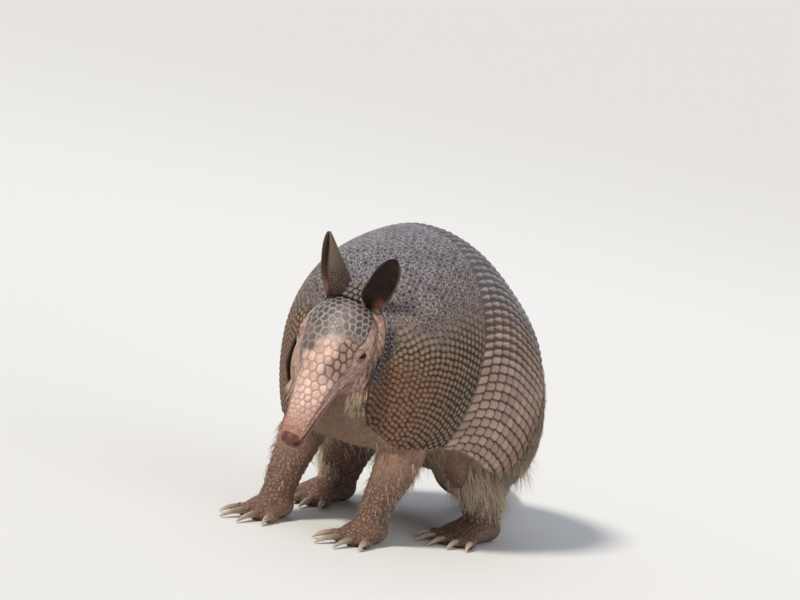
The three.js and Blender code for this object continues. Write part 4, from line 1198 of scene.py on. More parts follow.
def head_skin():
    """The head's tube. The outset is a sum: the seat under the scutes, the mouth's furrow with a
    lip on each side, strands along the muzzle, the cheek's wrinkles, and a low brow and pouch
    round each eye."""
    rows, sides = 196, 196
    turn = ring_angles(sides)
    turn = turn + 9 * np.sin(np.radians(2 * turn))  # closer together on the cheeks
    t, angle = np.meshgrid(np.linspace(0.0, HEAD_SKIN_END, rows), turn, indexing="ij")
    bare = head_point(t, angle)
    x, y, z = np.moveaxis(bare, -1, 0)
    wrapped = np.mod(angle + 180, 360) - 180
    flank = np.abs(wrapped)
    under = smooth(flank, shield_wrap(x) + 3, shield_wrap(x) - 4) * (x < SHIELD_END)
    seat = -SEAT * under
    line = z - MOUTH_RISE + 1.2 * bell(x - 66, 14) + 2.2 * smooth(x, 60, 44)
    mouth = smooth(x, MOUTH_START, MOUTH_START + 6) * (flank > 50)
    furrow = -1.4 * bell(line, 0.55) * mouth
    lips = (0.6 * bell(line - 1.5, 1.0) + 0.45 * bell(line + 1.5, 1.1)) * mouth
    jaw = -1.0 * smooth(line, -1, -5) * mouth * (flank < 150)
    cheek = (1 - under) * smooth(flank, 46, 62) * (1 - smooth(x, 66, 80))
    along = np.stack([x * 0.5 + 0.4 * z, 0.1 * y, z * 1.5 - 0.6 * x], -1)
    wrinkles = -0.95 * np.maximum(ripple(along, 6.0, 8), 0) ** 1.3 * cheek
    fine = -0.45 * np.maximum(ripple(along * 2.1, 5.6, 3), 0) * cheek
    strands = np.maximum(np.cos(line * 2 * np.pi / 1.7 + 1.5 * ripple(bare, 16, 4)), 0) ** 2
    strands = -0.4 * strands * (1 - under) * smooth(x, 32, 42) * (1 - smooth(x, 84, 92))
    strands = strands * smooth(line, 0.8, 2.0)
    warts = 0.35 * np.maximum(ripple(bare, 2.6, 6), 0) ** 2 * cheek * smooth(x, 40, 20)
    pleats = 0.25 * np.cos(x * 2 * np.pi / 2.6) * bell(line - 2.2, 2.4) * mouth
    eyes, sockets, lids = 0.0, 0.0, 0.0
    for side in (1, -1):
        dx, dz = eye_distance(bare, side)
        near = np.where(np.sign(wrapped) == side, np.hypot(dx, dz), 99)
        sockets = sockets + bell(near, 4.6)
        lids = lids + 0.9 * bell(near - 5.4, 1.3) * smooth(dz, 2, -3)
        lids = lids + 0.7 * bell(near - 5.8, 1.4) * smooth(dz, -1, 3)
        eyes = eyes + bell(near, 6)
    outset = seat + furrow + lips + jaw - 0.9 * sockets + lids + pleats + strands
    outset = outset + (wrinkles + fine + warts) * (1 - 0.8 * np.clip(eyes, 0, 1))
    outset = outset - COAT * (1 - under) * 0.5
    moved = head_point(t, angle, outset)
    # Painted shadow: the skin near each ear's root is coloured darker, through 0.8 * ear in the furrow
    # numbers.
    ear = bell(x - 5, 7) * (bell(wrapped - 62, 22) + bell(wrapped + 62, 22))
    values = {"scaly": 0 * x, "belly": 0 * x, "leg": 0 * x,
              # Painted shade in part: the throat's darker coat runs under the jaw.
              "throat": smooth(flank, 120, 165) * smooth(x, 75, 45),
              # Painted shade: the furrow numbers colour the skin darker in the mouth line, wrinkles
              # and strands, and under the ears.
              "face": smooth(x, 0, 8), "furrow": np.maximum.reduce(
                  [bell(line, 0.8) * mouth, 0.8 * ear, -0.75 * wrinkles, -0.9 * fine, -1.5 * strands]),
              "lips": np.maximum(smooth(x, 60, 90), bell(line + 1.5, 0.8) * mouth),
              # Painted shade: the socket share colours the skin darker round each eye.
              "socket": np.clip(sockets, 0, 1)}
    return on_head(moved), values


head_rings, head_values = head_skin()
skin_points, skin_faces, _ = join([
    (flesh, [flesh_quads], [np.zeros((*flesh_quads.shape, 2))]), tube(head_rings)])
skin_values = {}
for key, grid in head_values.items():
    held = np.concatenate([grid.ravel(), grid[[0, -1]].mean(1)])
    skin_values[key] = np.concatenate([body.get(key, np.zeros(len(flesh))), held])
FLESH_NODES = ["trunk", "neck", "head", "jaw"]
for pair in ("front", "hind"):
    for word in ("left", "right"):
        FLESH_NODES += [f"{pair}_leg_{word}", f"{pair}_foot_{word}"]
skin = make_piece("skin", skin_points, skin_faces, None, skin_values,
                  replaces=FLESH_NODES, slot="skin")

# %% [markdown]
# ## Living skin
# Bare skin is warm, thin and matt, with a web of creases. It is pinkish tan on the face, yellower
# on the belly and brown and scaly on the legs. A little light passes through it, which softens
# its shadows: Subsurface does that, and a plain colour would look like clay.


# %% Skin material
SCALE, WEB = 2.8, 0.9  # mm across: the scales of the legs and the web of fine creases
GLOWING = {"Subsurface Radius": (1.0, 0.35, 0.2), "Subsurface Scale": 0.0015}


def living_skin(tree):
    """Clouds of brown under a coat for each part of the body, then mottles and three kinds of furrow:
    the scales' lines, and painted shade in the creases and round the eyes. The relief is 1.6 * scales
    + 1.1 * web + 0.9 * lumps."""
    place = node(tree, "TexCoord", output="Object")
    tone = painted(tree, "8a6656", (clouded(tree, place, 9, 4, 0.3, 0.7), "a5826f"),
                   # The throat coat is a darker brown: partly the skin's own colour, partly painted
                   # shade under the jaw and chest.
                   ("belly", "8f7765"), ("throat", "7f6958"), ("face", "cba99a"),
                   ("leg", "8e7160"), ("lips", "b08273"))
    mottle = clouded(tree, place, 2.2, 4, 0.35, 0.65)
    cells = node(tree, "TexVoronoi", {"Vector": place, "Scale": 1000 / SCALE, "Randomness": 0.75},
                 feature="DISTANCE_TO_EDGE")
    flat = node(tree, "MapRange", (cells, 0.0, 0.3), interpolation_type="SMOOTHSTEP")
    lines = node(tree, "Math", (1.0, flat), operation="SUBTRACT")
    lines = node(tree, "Math", (lines, "scaly"), operation="MULTIPLY")
    # The furrow coat below is painted shade in the creases, the mouth line, the lids' slit and under
    # the ears.
    tone = painted(tree, tone, (mottle, "6d4d40", 0.4), (lines, "46342b", 0.75),
                   # The socket coat is painted shade round the eyes, darkest below them on the lids.
                   ("furrow", "38251e", 0.9), ("socket", "7a5346", 0.3))
    web = node(tree, "TexVoronoi", {"Vector": place, "Scale": 1000 / WEB},
               feature="DISTANCE_TO_EDGE")
    web = node(tree, "Math", (web, 1.1), operation="MULTIPLY")
    scales = node(tree, "Math", (flat, "scaly"), operation="MULTIPLY")
    lumps = node(tree, "TexNoise", {"Vector": place, "Scale": 1000 / 1.8, "Detail": 4})
    rise = node(tree, "Math", (scales, 1.6, web), operation="MULTIPLY_ADD")
    rise = node(tree, "Math", (lumps, 0.9, rise), operation="MULTIPLY_ADD")
    return {"Base Color": tone,
            "Roughness": node(tree, "Math", (mottle, 0.2, 0.5), operation="MULTIPLY_ADD"),
            "Normal": node(tree, "Bump", {"Height": rise, "Strength": 0.6, "Distance": 0.0005})}


SKIN = material("bare_skin", {"IOR": 1.4, "Specular IOR Level": 0.35, "Subsurface Weight": 0.12,
                              **GLOWING}, living_skin)
skin.data.materials.append(SKIN)


# %% [markdown]
# ## Eyes and lids
# The eye is small, dark and wet. Two thick lids close over the ball and leave a narrow slit. They
# could be painted on, but their shadow makes the eye look alive. A lid set is a surface of two
# parameters: the angle round the slit, and the way from its edge over the ball into the skin.


# %% Eyes
BALL_SUNK, BALL_ROWS, BALL_SIDES, LID_SIDES = 1.5, 24, 32, 64


def unit(vector):
    """The vector divided by its length."""
    return vector / np.linalg.norm(vector)


def ball_rings(centre, radius):
    """Rings of a sphere from pole to pole along y, with tiny rings at the poles."""
    tilt, turn = np.meshgrid(np.linspace(0.02, np.pi - 0.02, BALL_ROWS),
                             np.arange(BALL_SIDES) * 2 * np.pi / BALL_SIDES, indexing="ij")
    return centre + radius * np.stack([np.sin(tilt) * np.cos(turn), np.cos(tilt),
                                       np.sin(tilt) * np.sin(turn)], -1)


# Cornea over a near-black brown iris: so smooth that it mirrors the lamps as a small spark.
EYE = material("wet_dark_eye", {"Base Color": colour("080605"), "Roughness": 0.12, "IOR": 1.34,
                                "Specular IOR Level": 0.3})
SLIT_LONG, SLIT_HIGH, SLIT_TURN = 2.8, 1.0, 26.0  # half length and height in mm, and degrees


def eye_frame(side):
    """The ball's centre, the outward direction, and the slit's long and upward directions."""
    spot = np.array(LID_ALONG / HEAD_LENGTH)
    skin_at, ball_at = (head_point(spot, side * LID_ANGLE, outset)
                        for outset in (0.0, -BALL_SUNK))
    out = unit(skin_at - head_point(spot, side * LID_ANGLE, -8.0))
    back = unit(np.array((-1.0, 0, 0)) - out * -out[0])
    down = unit(np.array((0, side * np.cos(np.radians(LID_ANGLE)),
                          -np.sin(np.radians(LID_ANGLE)))))
    down = unit(down - out * (down @ out))
    turn = np.radians(SLIT_TURN)
    long_way = back * np.cos(turn) + down * np.sin(turn)
    return ball_at, out, long_way, back * np.sin(turn) - down * np.cos(turn)


def lid_rings(side):
    """Rings round the slit. The slit is an almond, |sin| high. From its edge the lid runs out
    over the ball, swells to a soft roll and sinks into the skin."""
    centre, out, long_way, up = eye_frame(side)
    turn = np.arange(LID_SIDES) * 2 * np.pi / LID_SIDES
    almond = np.abs(np.sin(turn)) ** 1.2 * np.sign(np.sin(turn))
    rings = []
    for share in np.linspace(0, 1, 20):
        a = mix(SLIT_LONG, 6.0, share) * np.cos(turn)
        b = mix(SLIT_HIGH, 5.0, share) * mix(almond, np.sin(turn), smooth(share, 0, 0.5))
        flat = np.hypot(a, b)
        over = EYE_RADIUS + 0.2 + 0.6 * np.sin(np.pi * min(share * 1.8, 1))
        depth = np.sqrt(np.maximum(over**2 - np.minimum(flat, over * 0.9) ** 2, 0.2))
        depth = depth - 4.4 * max(share - 0.5, 0) ** 1.1
        fold = 0.22 * np.sin(share * 19 + 0.8 * np.sin(turn * 2)) * smooth(share, 0.3, 0.5)
        spot = centre + a[:, None] * long_way + b[:, None] * up
        rings.append(spot + (depth + fold - 0.35)[:, None] * out)
    back = rings[0] - out * 1.2
    return on_head(np.array([back, *rings, rings[-1] - out * 2.0]))


for word, side in (("left", 1), ("right", -1)):
    ball = tube_piece(f"eyeball_{word}", on_head(ball_rings(eye_frame(side)[0], EYE_RADIUS)),
                      replaces=(f"eye_{word}",), slot="eye")
    ball.data.materials.append(EYE)
    rings = lid_rings(side)
    share = np.linspace(0, 1, len(rings))[:, None] + np.zeros(rings.shape[1])
    below = smooth(-np.sin(np.arange(LID_SIDES) * 2 * np.pi / LID_SIDES), -0.2, 0.6)
    lid = tube_piece(f"eyelids_{word}", rings, {
        # Painted shade: the lids are coloured darker at the slit's edge.
        "face": 0.55 + 0.3 * share, "furrow": mix(0.95, 0.25, smooth(share, 0.1, 0.42)),
        # Painted shade: the lids are coloured darker round the ball, most below it.
        "socket": bell(share - 0.4, 0.3) * (0.6 + 1.3 * below)}, slot="skin")
    lid.data.materials.append(SKIN)

# %% [markdown]
# ## The nose
# The tip of the muzzle is a bare moist pad, round like a short cork, with a nostril low on each
# side. A Boolean would cut them with sharp rims, so they are soft dents in the tube.

# %% Nose pad
NOSTRIL, NOSTRIL_ASIDE = (99.0, 1.6), 4.4  # mm along and up the head, and to its side


def nose_piece():
    """The head's sections from 95% on, then a front whose rings shrink as sqrt(1 - way^2) and move
    3.2 mm on. Each nostril is a bell-shaped dent, 1.7 mm back and 1.5 mm inwards."""
    share = np.linspace(0, 1, 70)[:, None]
    angle = ring_angles(96)[None] + 0 * share
    t = mix(0.95, 1.0, np.minimum(share / 0.6, 1))
    round_off = np.clip((share - 0.5) / 0.5, 0, 1)
    row = HEAD_SECTIONS(t + 0 * angle)
    turn = np.radians(angle)
    shrink = np.sqrt(np.clip(1 - round_off**2 * 0.995, 0, 1))
    reach = np.where(np.cos(turn) > 0, row[..., 2], row[..., 3])
    x = np.where(share < 0.5, row[..., 0], 97.6 + 3.2 * np.sin(np.pi / 2 * round_off))
    y = (row[..., 1] * 0.98 + 0.25) * np.sin(turn) * shrink
    z = (reach * 0.98 + 0.25) * np.cos(turn) * shrink - 0.6 * round_off
    base = np.stack([np.maximum(x, row[..., 0]), y, z], -1)
    dark = 0 * y
    for side in (1, -1):
        spot = np.array((NOSTRIL[0], side * NOSTRIL_ASIDE, NOSTRIL[1]))
        near = np.linalg.norm((base - spot) * (0.8, 1.0, 1.25), axis=-1)
        dent = bell(near, 1.9)
        base = base - dent[..., None] * np.array((1.7, side * 1.5, 0))
        base = base + (0.5 * bell(near - 2.9, 0.9))[..., None] * np.array((0.4, side, 0.2))
        # Painted shade: each nostril's dent is coloured near black inside.
        dark = np.maximum(dark, smooth(near, 2.5, 1.5))
    return tube_piece("nose_pad", on_head(base), {"nostril": dark}, replaces=("nose",),
                      slot="nose")


def moist_skin(tree):
    """Red-pink clouds, with painted shade near black in the nostrils, under a fine grain of 0.6 mm."""
    place = node(tree, "TexCoord", output="Object")
    tone = painted(tree, "774537", (clouded(tree, place, 2.5, 3, 0.35, 0.65), "5d352b"),
                   ("nostril", "2a1512"))
    grain = node(tree, "TexVoronoi", {"Vector": place, "Scale": 1000 / 0.6})
    return {"Base Color": tone,
            "Normal": node(tree, "Bump", {"Height": grain, "Strength": 0.4, "Distance": 0.0002})}


nose = nose_piece()
# Moist skin is smoother than dry skin, so the pad has a soft gloss.
nose.data.materials.append(material("moist_nose_pad", {
    "Roughness": 0.32, "IOR": 1.4, "Subsurface Weight": 0.15,
    "Subsurface Radius": (1.0, 0.3, 0.2), "Subsurface Scale": 0.0015}, moist_skin))

# %% [markdown]
# ## The ears
# Each ear is a thin leathery leaf, rolled into a funnel at its root. Its back is pebbled with
# small pale beads of horn on dark skin. Inside it is bare and almost black, with pink at the
# bottom. A bend modifier couldn't close a flat leaf to a funnel, so a formula does.

# %% Ears
EAR_LENGTH, EAR_WIDTH, EAR_THICK, EAR_SUNK, EAR_BEAD = 42.0, 17.6, 1.2, 5.0, 1.5
LEAF_PEAK = 0.461  # about the most that share^0.5 * (1 - share)^0.62 reaches
# Root in the head's frame, rise, the way it opens in degrees from ahead, and depth at the root.
EARS = {"left": (1, (1.6, 11.3, 11.2), (0.31, 0.44, 0.84), 38, 5),
        "right": (-1, (2.8, -17.3, 7.2), (0.26, -0.05, 0.96), -43, 16.5)}


def ear_piece(word):
    """The leaf stands on its root along `rise`, and its edges stay near the plane there. At each
    height its points turn round a half ellipse: its width grows as share^0.5 * (1 - share)^0.62,
    and its depth falls as 1 - share^1.6. Low down the edges meet, which makes the funnel."""
    side, root, rise, opens, deep = EARS[word]
    root, rise = on_head(np.array(root)), unit(np.array(rise))
    facing = np.array((np.cos(np.radians(opens)), np.sin(np.radians(opens)), 0))
    facing = unit(facing - rise * (rise @ facing))
    sideways = np.cross(rise, facing)
    height, v = np.meshgrid(np.linspace(-EAR_SUNK, EAR_LENGTH, 120), np.linspace(-1, 1, 97),
                            indexing="ij")
    share = np.clip(height / EAR_LENGTH, 0, 1)
    limit = np.radians(mix(168, 96, smooth(share, -0.1, 0.3)))
    turn = v * limit
    border, chance = honeycomb(height / EAR_BEAD, v * 14, 0.2, 33)
    bead = smooth(border * EAR_BEAD, 0.15, 0.5)

    def face(depth, relief, fill=0.0):
        """One face, `depth` mm inside the leaf: width * sin and cup * cos of the turn at each
        height. `fill` is the share of the cup filled low down."""
        thin = depth * mix(1.0, 0.35, np.abs(v) ** 6) * mix(1.0, 0.5, smooth(share, 0.8, 1))
        low = np.maximum(share, 0.05)
        stalk = np.sqrt(np.clip(1 - (np.minimum(height, 0) / (EAR_SUNK + 0.3)) ** 2, 0, 1))
        leaf = low**0.5 * np.maximum(1 - low, 0) ** 0.62 / LEAF_PEAK
        wide = (EAR_WIDTH / 2 * leaf + 0.5 + relief) * stalk - thin
        cup = (deep * (1 - share**1.6) + 1.5 + relief) * stalk - thin
        cup = cup - fill * deep * smooth(share, 0.45, 0.15)
        bend = (np.cos(turn) - np.cos(limit)) / (1 - np.cos(limit))
        bow = 2.2 * np.sin(np.pi * share) - depth * 0.3
        flare = 0.8 * np.sin(share * 9) * np.abs(v) ** 8
        return (root + rise * height[..., None]
                + sideways * (np.maximum(wide + flare, 0.2) * np.sin(turn))[..., None]
                + facing * (bow - np.maximum(cup, 0.2) * bend)[..., None])

    outer = face(0.0, 0.16 * bead * (1 - np.abs(v) ** 8) - 0.05)
    inner = face(EAR_THICK, 0.0, 0.6)[:, ::2]  # the gristle is thick at the root
    rim = smooth(np.abs(v), 0.9, 1.0)
    low = smooth(share, 0.3, 0.08)
    values = {"bead": mix(bead, 0.5, smooth(share, 0.4, 0.65)), "back": 1 - rim, "rim": rim,
              "base": 0.8 * low * smooth(-v, -0.1, 0.4) * (side > 0), "chance": chance}
    return closed_plate(f"ear_{word}_leaf", outer, inner, values,
                        {"base": (low * smooth(side * v, 0.0, 0.5))[:, ::2],
                         "rim": smooth(np.abs(v), 0.74, 0.96)[:, ::2]},
                        replaces=(f"ear_{word}",), slot="ear")


def ear_leather(tree):
    """Near-black skin inside and pale beads on dark skin behind, both pink low down, with a brown
    rim."""
    place = node(tree, "TexCoord", output="Object")
    inside = painted(tree, "1d110e", (clouded(tree, place, 5, 3, 0.3, 0.7), "2d1d17"),
                     ("base", "8a5b4b"))
    back = painted(tree, "1d1410", ("bead", "988471"), ("base", "97745f"))
    grain = node(tree, "TexNoise", {"Vector": place, "Scale": 1000 / 0.8, "Detail": 4})
    return {"Base Color": painted(tree, inside, ("back", back), ("rim", "6b5444", 0.6)),
            "Normal": node(tree, "Bump", {"Height": grain, "Strength": 0.4, "Distance": 0.0003})}


# Thin leathery skin is matt, and a little light shines through it.
EAR = material("ear_leather", {
    "Roughness": 0.62, "IOR": 1.45, "Specular IOR Level": 0.25, "Subsurface Weight": 0.05,
    **GLOWING, "Subsurface Scale": 0.001}, ear_leather)
for word in EARS:
    ear_piece(word).data.materials.append(EAR)

# %% [markdown]
# ## The scutes of the nape
# Between the ears, three short rows of small glossy scutes bridge the head shield and the shell.
# Each scute is a low dome. Copies would need turning one by one, so each is worked out in place.

# %% Nape scutes
NAPE_ROWS = ((5, -1.6, 12.8), (6, -4.9, 13.2), (5, -8.2, 13.2))  # scutes, mm back, mm up
NAPE_ACROSS, NAPE_STEP, NAPE_TURN, NAPE_HALF = 15.5, 14.5, 8, 1.85  # mm, degrees, degrees, mm
# Shares of a scute's half width for its rings, and how far each lies under the dome, in mm.
NAPE_RINGS = ((0.02, 0), (0.35, 0), (0.65, 0), (0.85, 0), (0.97, 0), (1.0, 0), (0.98, 2.2))


def nape_scute(back, up, a):
    """One scute at an angle `a` across the neck: a rounded square, (cos^4 + sin^4)^-0.25, with a
    dome 1.1 * sqrt(1 - share^4) mm high, tilted forward."""
    middle = np.array((back - 1.5 * abs(np.sin(a)), NAPE_ACROSS * np.sin(a), up * np.cos(a)))
    out = unit(np.array((-0.15, np.sin(a), np.cos(a))))
    ahead = np.array((1.0, 0, 0.15))
    ahead = unit(ahead - out * (ahead @ out))
    sideways = np.cross(out, ahead)
    turn = np.radians(ring_angles(16))
    cos, sin = np.cos(turn), np.sin(turn)
    square = (cos**4 + sin**4) ** -0.25
    rings = []
    for share, sunk in NAPE_RINGS:
        lift = 1.1 * (1 - share**4) ** 0.5 - sunk
        rings.append(middle + share * NAPE_HALF * square[:, None]
                     * (cos[:, None] * ahead + sin[:, None] * sideways)
                     + out * (lift + 0.35 * share * cos[:, None]))
    return on_head(np.array(rings))


parts, chances = [], []
for row, (count, back, up) in enumerate(NAPE_ROWS):
    for k in range(count):
        across = np.radians((k - (count - 1) / 2) * NAPE_STEP - NAPE_TURN)
        parts.append(tube(nape_scute(back, up, across)))
        chances.append(np.full(len(parts[-1][0]), scatter(row, k, 3)))
nape_points, nape_faces, nape_uv = join(parts)
chance = np.concatenate(chances)
nape = make_piece("nape_scutes", nape_points, nape_faces, nape_uv,
                  {"chance": chance, "middle": 0.7 + 0.3 * chance}, slot="head_shield")
nape.data.materials.append(HEAD_HORN)

# %% [markdown]
# ## The tail
# The tail lies on the floor in a long curve. Near the body, hoops of horn go round it like the
# bands on the back, and each hoop has two rows of scutes. Towards the tip the hoops fade into
# plain rows of small scales. An Array along a curve would carry equal hoops, but these shorten and
# thin, so each ring of points finds its own hoop.

# %% Tail
TAIL_X, TAIL_ROOT, TAIL_TIP, TAIL_LENGTH, TAIL_BEND = -120.0, 20.0, 2.4, 300.0, 190.0
TAIL_LIFT, TAIL_LIFTED, RING_COUNT, RING_PITCH, RING_SHRINK, RING_STEP = 15, 90, 15, 12, 0.965, 0.9
ROW_PITCH, TAIL_SCUTE, FRONT_ROW = 6, 4.2, 0.42  # mm, mm, and the front row's share of a hoop


def tail_starts():
    """Where each hoop starts: RING_SHRINK times as long as the one before, then rows of 6 mm."""
    starts = np.append(0, np.cumsum(RING_PITCH * RING_SHRINK ** np.arange(RING_COUNT)))
    rest = np.arange(starts[-1] + ROW_PITCH, TAIL_LENGTH - 2, ROW_PITCH)
    return np.concatenate([starts, rest, [TAIL_LENGTH]])


def tail_piece():
    """Rings along an arc of radius TAIL_BEND. The tail thins with the share^0.82 of its length. A
    hoop stands RING_STEP proud at its rear, and its front row of scutes is half a scute over."""
    starts = tail_starts()
    samples = [np.linspace(a + 0.05, b - 0.05, max(int((b - a) / 0.62), 5))
               for a, b in zip(starts[:-1], starts[1:])]
    along = np.concatenate(samples)
    ring = np.concatenate([np.full(len(s), k) for k, s in enumerate(samples)])
    first, last = starts[ring], starts[ring + 1]
    share = (along - first) / (last - first)
    radius = mix(TAIL_ROOT, TAIL_TIP, (along / TAIL_LENGTH) ** 0.82)
    hoop = ring < RING_COUNT
    proud = np.where(hoop, RING_STEP, 0.35) * share
    angle = np.radians(ring_angles(168))[None]
    held = radius[np.searchsorted(along, first)]
    count = np.maximum(np.round(2 * np.pi * held / TAIL_SCUTE), 6)
    front = (share < FRONT_ROW) & hoop
    cell = angle / (2 * np.pi) * count[:, None] + np.where(front, 0.5, 0.0)[:, None]
    middle = np.round(cell)
    width = 2 * np.pi * radius / count
    offset = np.abs(cell - middle) * width[:, None]
    split = np.where(front, FRONT_ROW, 1 - FRONT_ROW)
    long = np.where(hoop, split, 1.0) * (last - first)
    into = np.where(hoop, (share - np.where(front, 0, FRONT_ROW)) / split, share)
    ends = (np.minimum(into, 1 - into) * long)[:, None]
    edge = np.minimum(width[:, None] / 2 - offset, ends)
    tile = smooth(edge, 0.1, 0.6)
    relief = mix(0.15, 0.4, tile) * np.minimum(radius[:, None] / 8, 1) - 0.35
    reach = (radius + proud)[:, None] + relief
    reach = reach * smooth(TAIL_LENGTH + 1.5 - along, 0, 5)[:, None] ** 0.5
    bend = along / TAIL_BEND
    lift = TAIL_LIFT * np.maximum(1 - along / TAIL_LIFTED, 0) ** 2
    height = (radius + proud) * np.cos(np.pi / 12) + lift
    sideways = reach * np.sin(angle)
    x = (TAIL_X - TAIL_BEND * np.sin(bend))[:, None] - sideways * np.sin(bend)[:, None]
    y = (-TAIL_BEND * (1 - np.cos(bend)))[:, None] + sideways * np.cos(bend)[:, None]
    z = np.maximum(height[:, None] + reach * np.cos(angle), 0.02)
    chance = scatter(np.mod(middle, count[:, None]), (ring * 2 + front)[:, None], 13)
    values = {"tile": tile, "chance": chance,
              "hoop": (0.5 + 0.5 * smooth(share, 0.0, 0.25))[:, None] + 0 * sideways,
              "tip": (along / TAIL_LENGTH)[:, None] + 0 * sideways}
    names = [f"tail_{k}" for k in (1, 2, 3, 4)]
    return tube_piece("tail_rings", np.stack([x, y, z], -1), values, replaces=names, slot="tail")


def tail_horn(tree):
    """Scales of two browns by chance, darker to the tip, with dark furrows between them and at
    each hoop's front, under clouds of dirt."""
    place = node(tree, "TexCoord", output="Object")
    tone = painted(tree, "7d6c62", ("chance", "a08d80"), ("tip", "6b5a50", 0.5))
    tone = painted(tree, "40322b", ("tile", tone))
    tone = painted(tree, "372b25", ("hoop", tone))
    tone = painted(tree, tone, (clouded(tree, place, 8, 4, 0.35, 0.75, 0.35), "5b4a40"))
    grains = node(tree, "TexNoise", {"Vector": place, "Scale": 1000, "Detail": 3})
    return {"Base Color": tone,
            "Roughness": node(tree, "Math", (grains, 0.25, 0.42), operation="MULTIPLY_ADD"),
            "Normal": node(tree, "Bump", {"Height": grains, "Strength": 0.5, "Distance": 0.0003})}


tail = tail_piece()
# Dull horn: its grain breaks up the gloss, as on an old comb.
tail.data.materials.append(material("horn_tail", {"IOR": 1.55}, tail_horn))

# %% [markdown]
# ## Claws
# The claws are strong, blunt and slightly hooked, for digging. Each is a tapered tube of horn on
# an arc from its toe down to the floor, flat underneath, and all of them are joined in one piece.
# A bevelled curve would taper too, but it can't be flat underneath.

# %% Claws
CLAW_ROWS, CLAW_SIDES, CLAW_WIDE, CLAW_HIGH, CLAW_FLAT = 22, 18, 2.15, 2.35, 0.72


def claw_rings(toe, ball, side):
    """Rings along the claw: CLAW_WIDE and CLAW_HIGH mm times what is left of its length to the
    power 0.45, CLAW_FLAT as high underneath, on an arc that falls with the share^1.5."""
    _, end, ahead = toe_line(toe, ball, side)
    sideways = np.array((-ahead[1], ahead[0], 0))
    turn = np.radians(ring_angles(CLAW_SIDES))
    rings = []
    for share in np.linspace(-0.12, 1, CLAW_ROWS):
        thin = max(np.sqrt(max(1 - share, 0)) ** 0.9, 0.1) * (1 if share > 0 else 0.92)
        middle = end + ahead * (GAP + toe[2] * share)
        middle[2] = mix(end[2] + 0.6, 1.0, max(share, 0) ** 1.5)
        middle[2] += 0.9 * np.sin(np.pi * np.clip(share, 0, 1)) * 0.6
        down = np.where(np.cos(turn) < 0, CLAW_FLAT, 1.0)
        rings.append(middle + CLAW_WIDE * thin * np.sin(turn)[:, None] * sideways
                     + (CLAW_HIGH * thin * down * np.cos(turn))[:, None] * np.array((0, 0, 1)))
    return np.array(rings)


parts, shares = [], []
for (pair, side), stride in STRIDES.items():
    x, y, ball, toes = FEET[pair]
    for toe in toes:
        rings = claw_rings(toe, ball, side) + (x + stride, side * y, 0)
        rings[..., 2] = np.maximum(rings[..., 2], 0.15)
        parts.append(tube(rings))
        share = np.linspace(0, 1, CLAW_ROWS)[:, None] + np.zeros(CLAW_SIDES)
        shares.append(np.concatenate([share.ravel(), (0, 1)]))
claw_points, claw_faces, claw_uv = join(parts)
CLAW_NODES = [f"claw_{pair}_{word}_{k}" for pair, count in (("front", 4), ("hind", 5))
              for word in ("left", "right") for k in range(1, count + 1)]
claws = make_piece("claws", claw_points, claw_faces, claw_uv,
                   {"share": np.concatenate(shares)}, replaces=CLAW_NODES, slot="claw")


def claw_horn(tree):
    """Brown at the root and pale to the tip, with stains in a grain that is drawn out along the
    claw."""
    place = node(tree, "TexCoord", output="Object")
    place = node(tree, "Mapping", {"Vector": place, "Scale": (0.15, 1, 1)})
    grain = node(tree, "TexNoise", {"Vector": place, "Scale": 1000 / 0.8, "Detail": 3})
    stain = node(tree, "MapRange", (grain, 0.35, 0.7, 0, 0.5), interpolation_type="SMOOTHSTEP")
    return {"Base Color": painted(tree, "8b735e", ("share", "cdbfa6"), (stain, "6f5b49")),
            "Normal": node(tree, "Bump", {"Height": grain, "Strength": 0.3, "Distance": 0.0002})}


# Solid horn, rubbed by digging: glossier than the shell.
claws.data.materials.append(material("horn_claw", {"Roughness": 0.38, "IOR": 1.55}, claw_horn))

# %% [markdown]
# ## Hair
# An armadillo has little hair. Long pale bristles hang over the hind legs, a tuft fills the throat,
# rows cross the belly, and short ones grow from between the scutes of the flanks. Each is a thin
# three-sided tube that tapers to a point. They stand in small locks that lean the same way and
# bend with their own weight. A hair system would be finer, but it isn't a mesh.

# %% Bristles
def dry_hair(tree):
    """Two browns by each bristle's own number, and a paler tip."""
    return {"Base Color": painted(tree, "695140", ("pale", "e6d0b4"), ("tip", "e0d2c1", 0.35))}


# Dry hair has a soft sheen, so it is a little smoother than skin.
HAIR = material("body_hair", {"Roughness": 0.5, "IOR": 1.45}, dry_hair)


def skin_unwrap(points):
    """A flat place for each point of the skin: the body is unrolled round its long axis on the
    left part of the square, and each leg round its own upright axis on the right."""
    x, y, z = points.T
    turn = np.arctan2(y, z - 95) / (2 * np.pi) + 0.5
    u, v = 0.02 + 0.5 * np.clip((x + 130) / 260, 0, 1), 0.02 + 0.95 * turn
    for k, ((pair, side), stride) in enumerate(STRIDES.items()):
        middle_x, middle_y = FEET[pair][0], side * FEET[pair][1]
        near = (np.abs(y - middle_y) < 24) & (np.abs(x - middle_x) < 44) & (z < 62)
        around = np.arctan2(y - middle_y, x - middle_x - stride) / (2 * np.pi) + 0.5
        u = np.where(near, 0.56 + 0.1 * k + 0.09 * around, u)
        v = np.where(near, 0.02 + 0.9 * z / 62, v)
    return np.stack([u, v], -1)


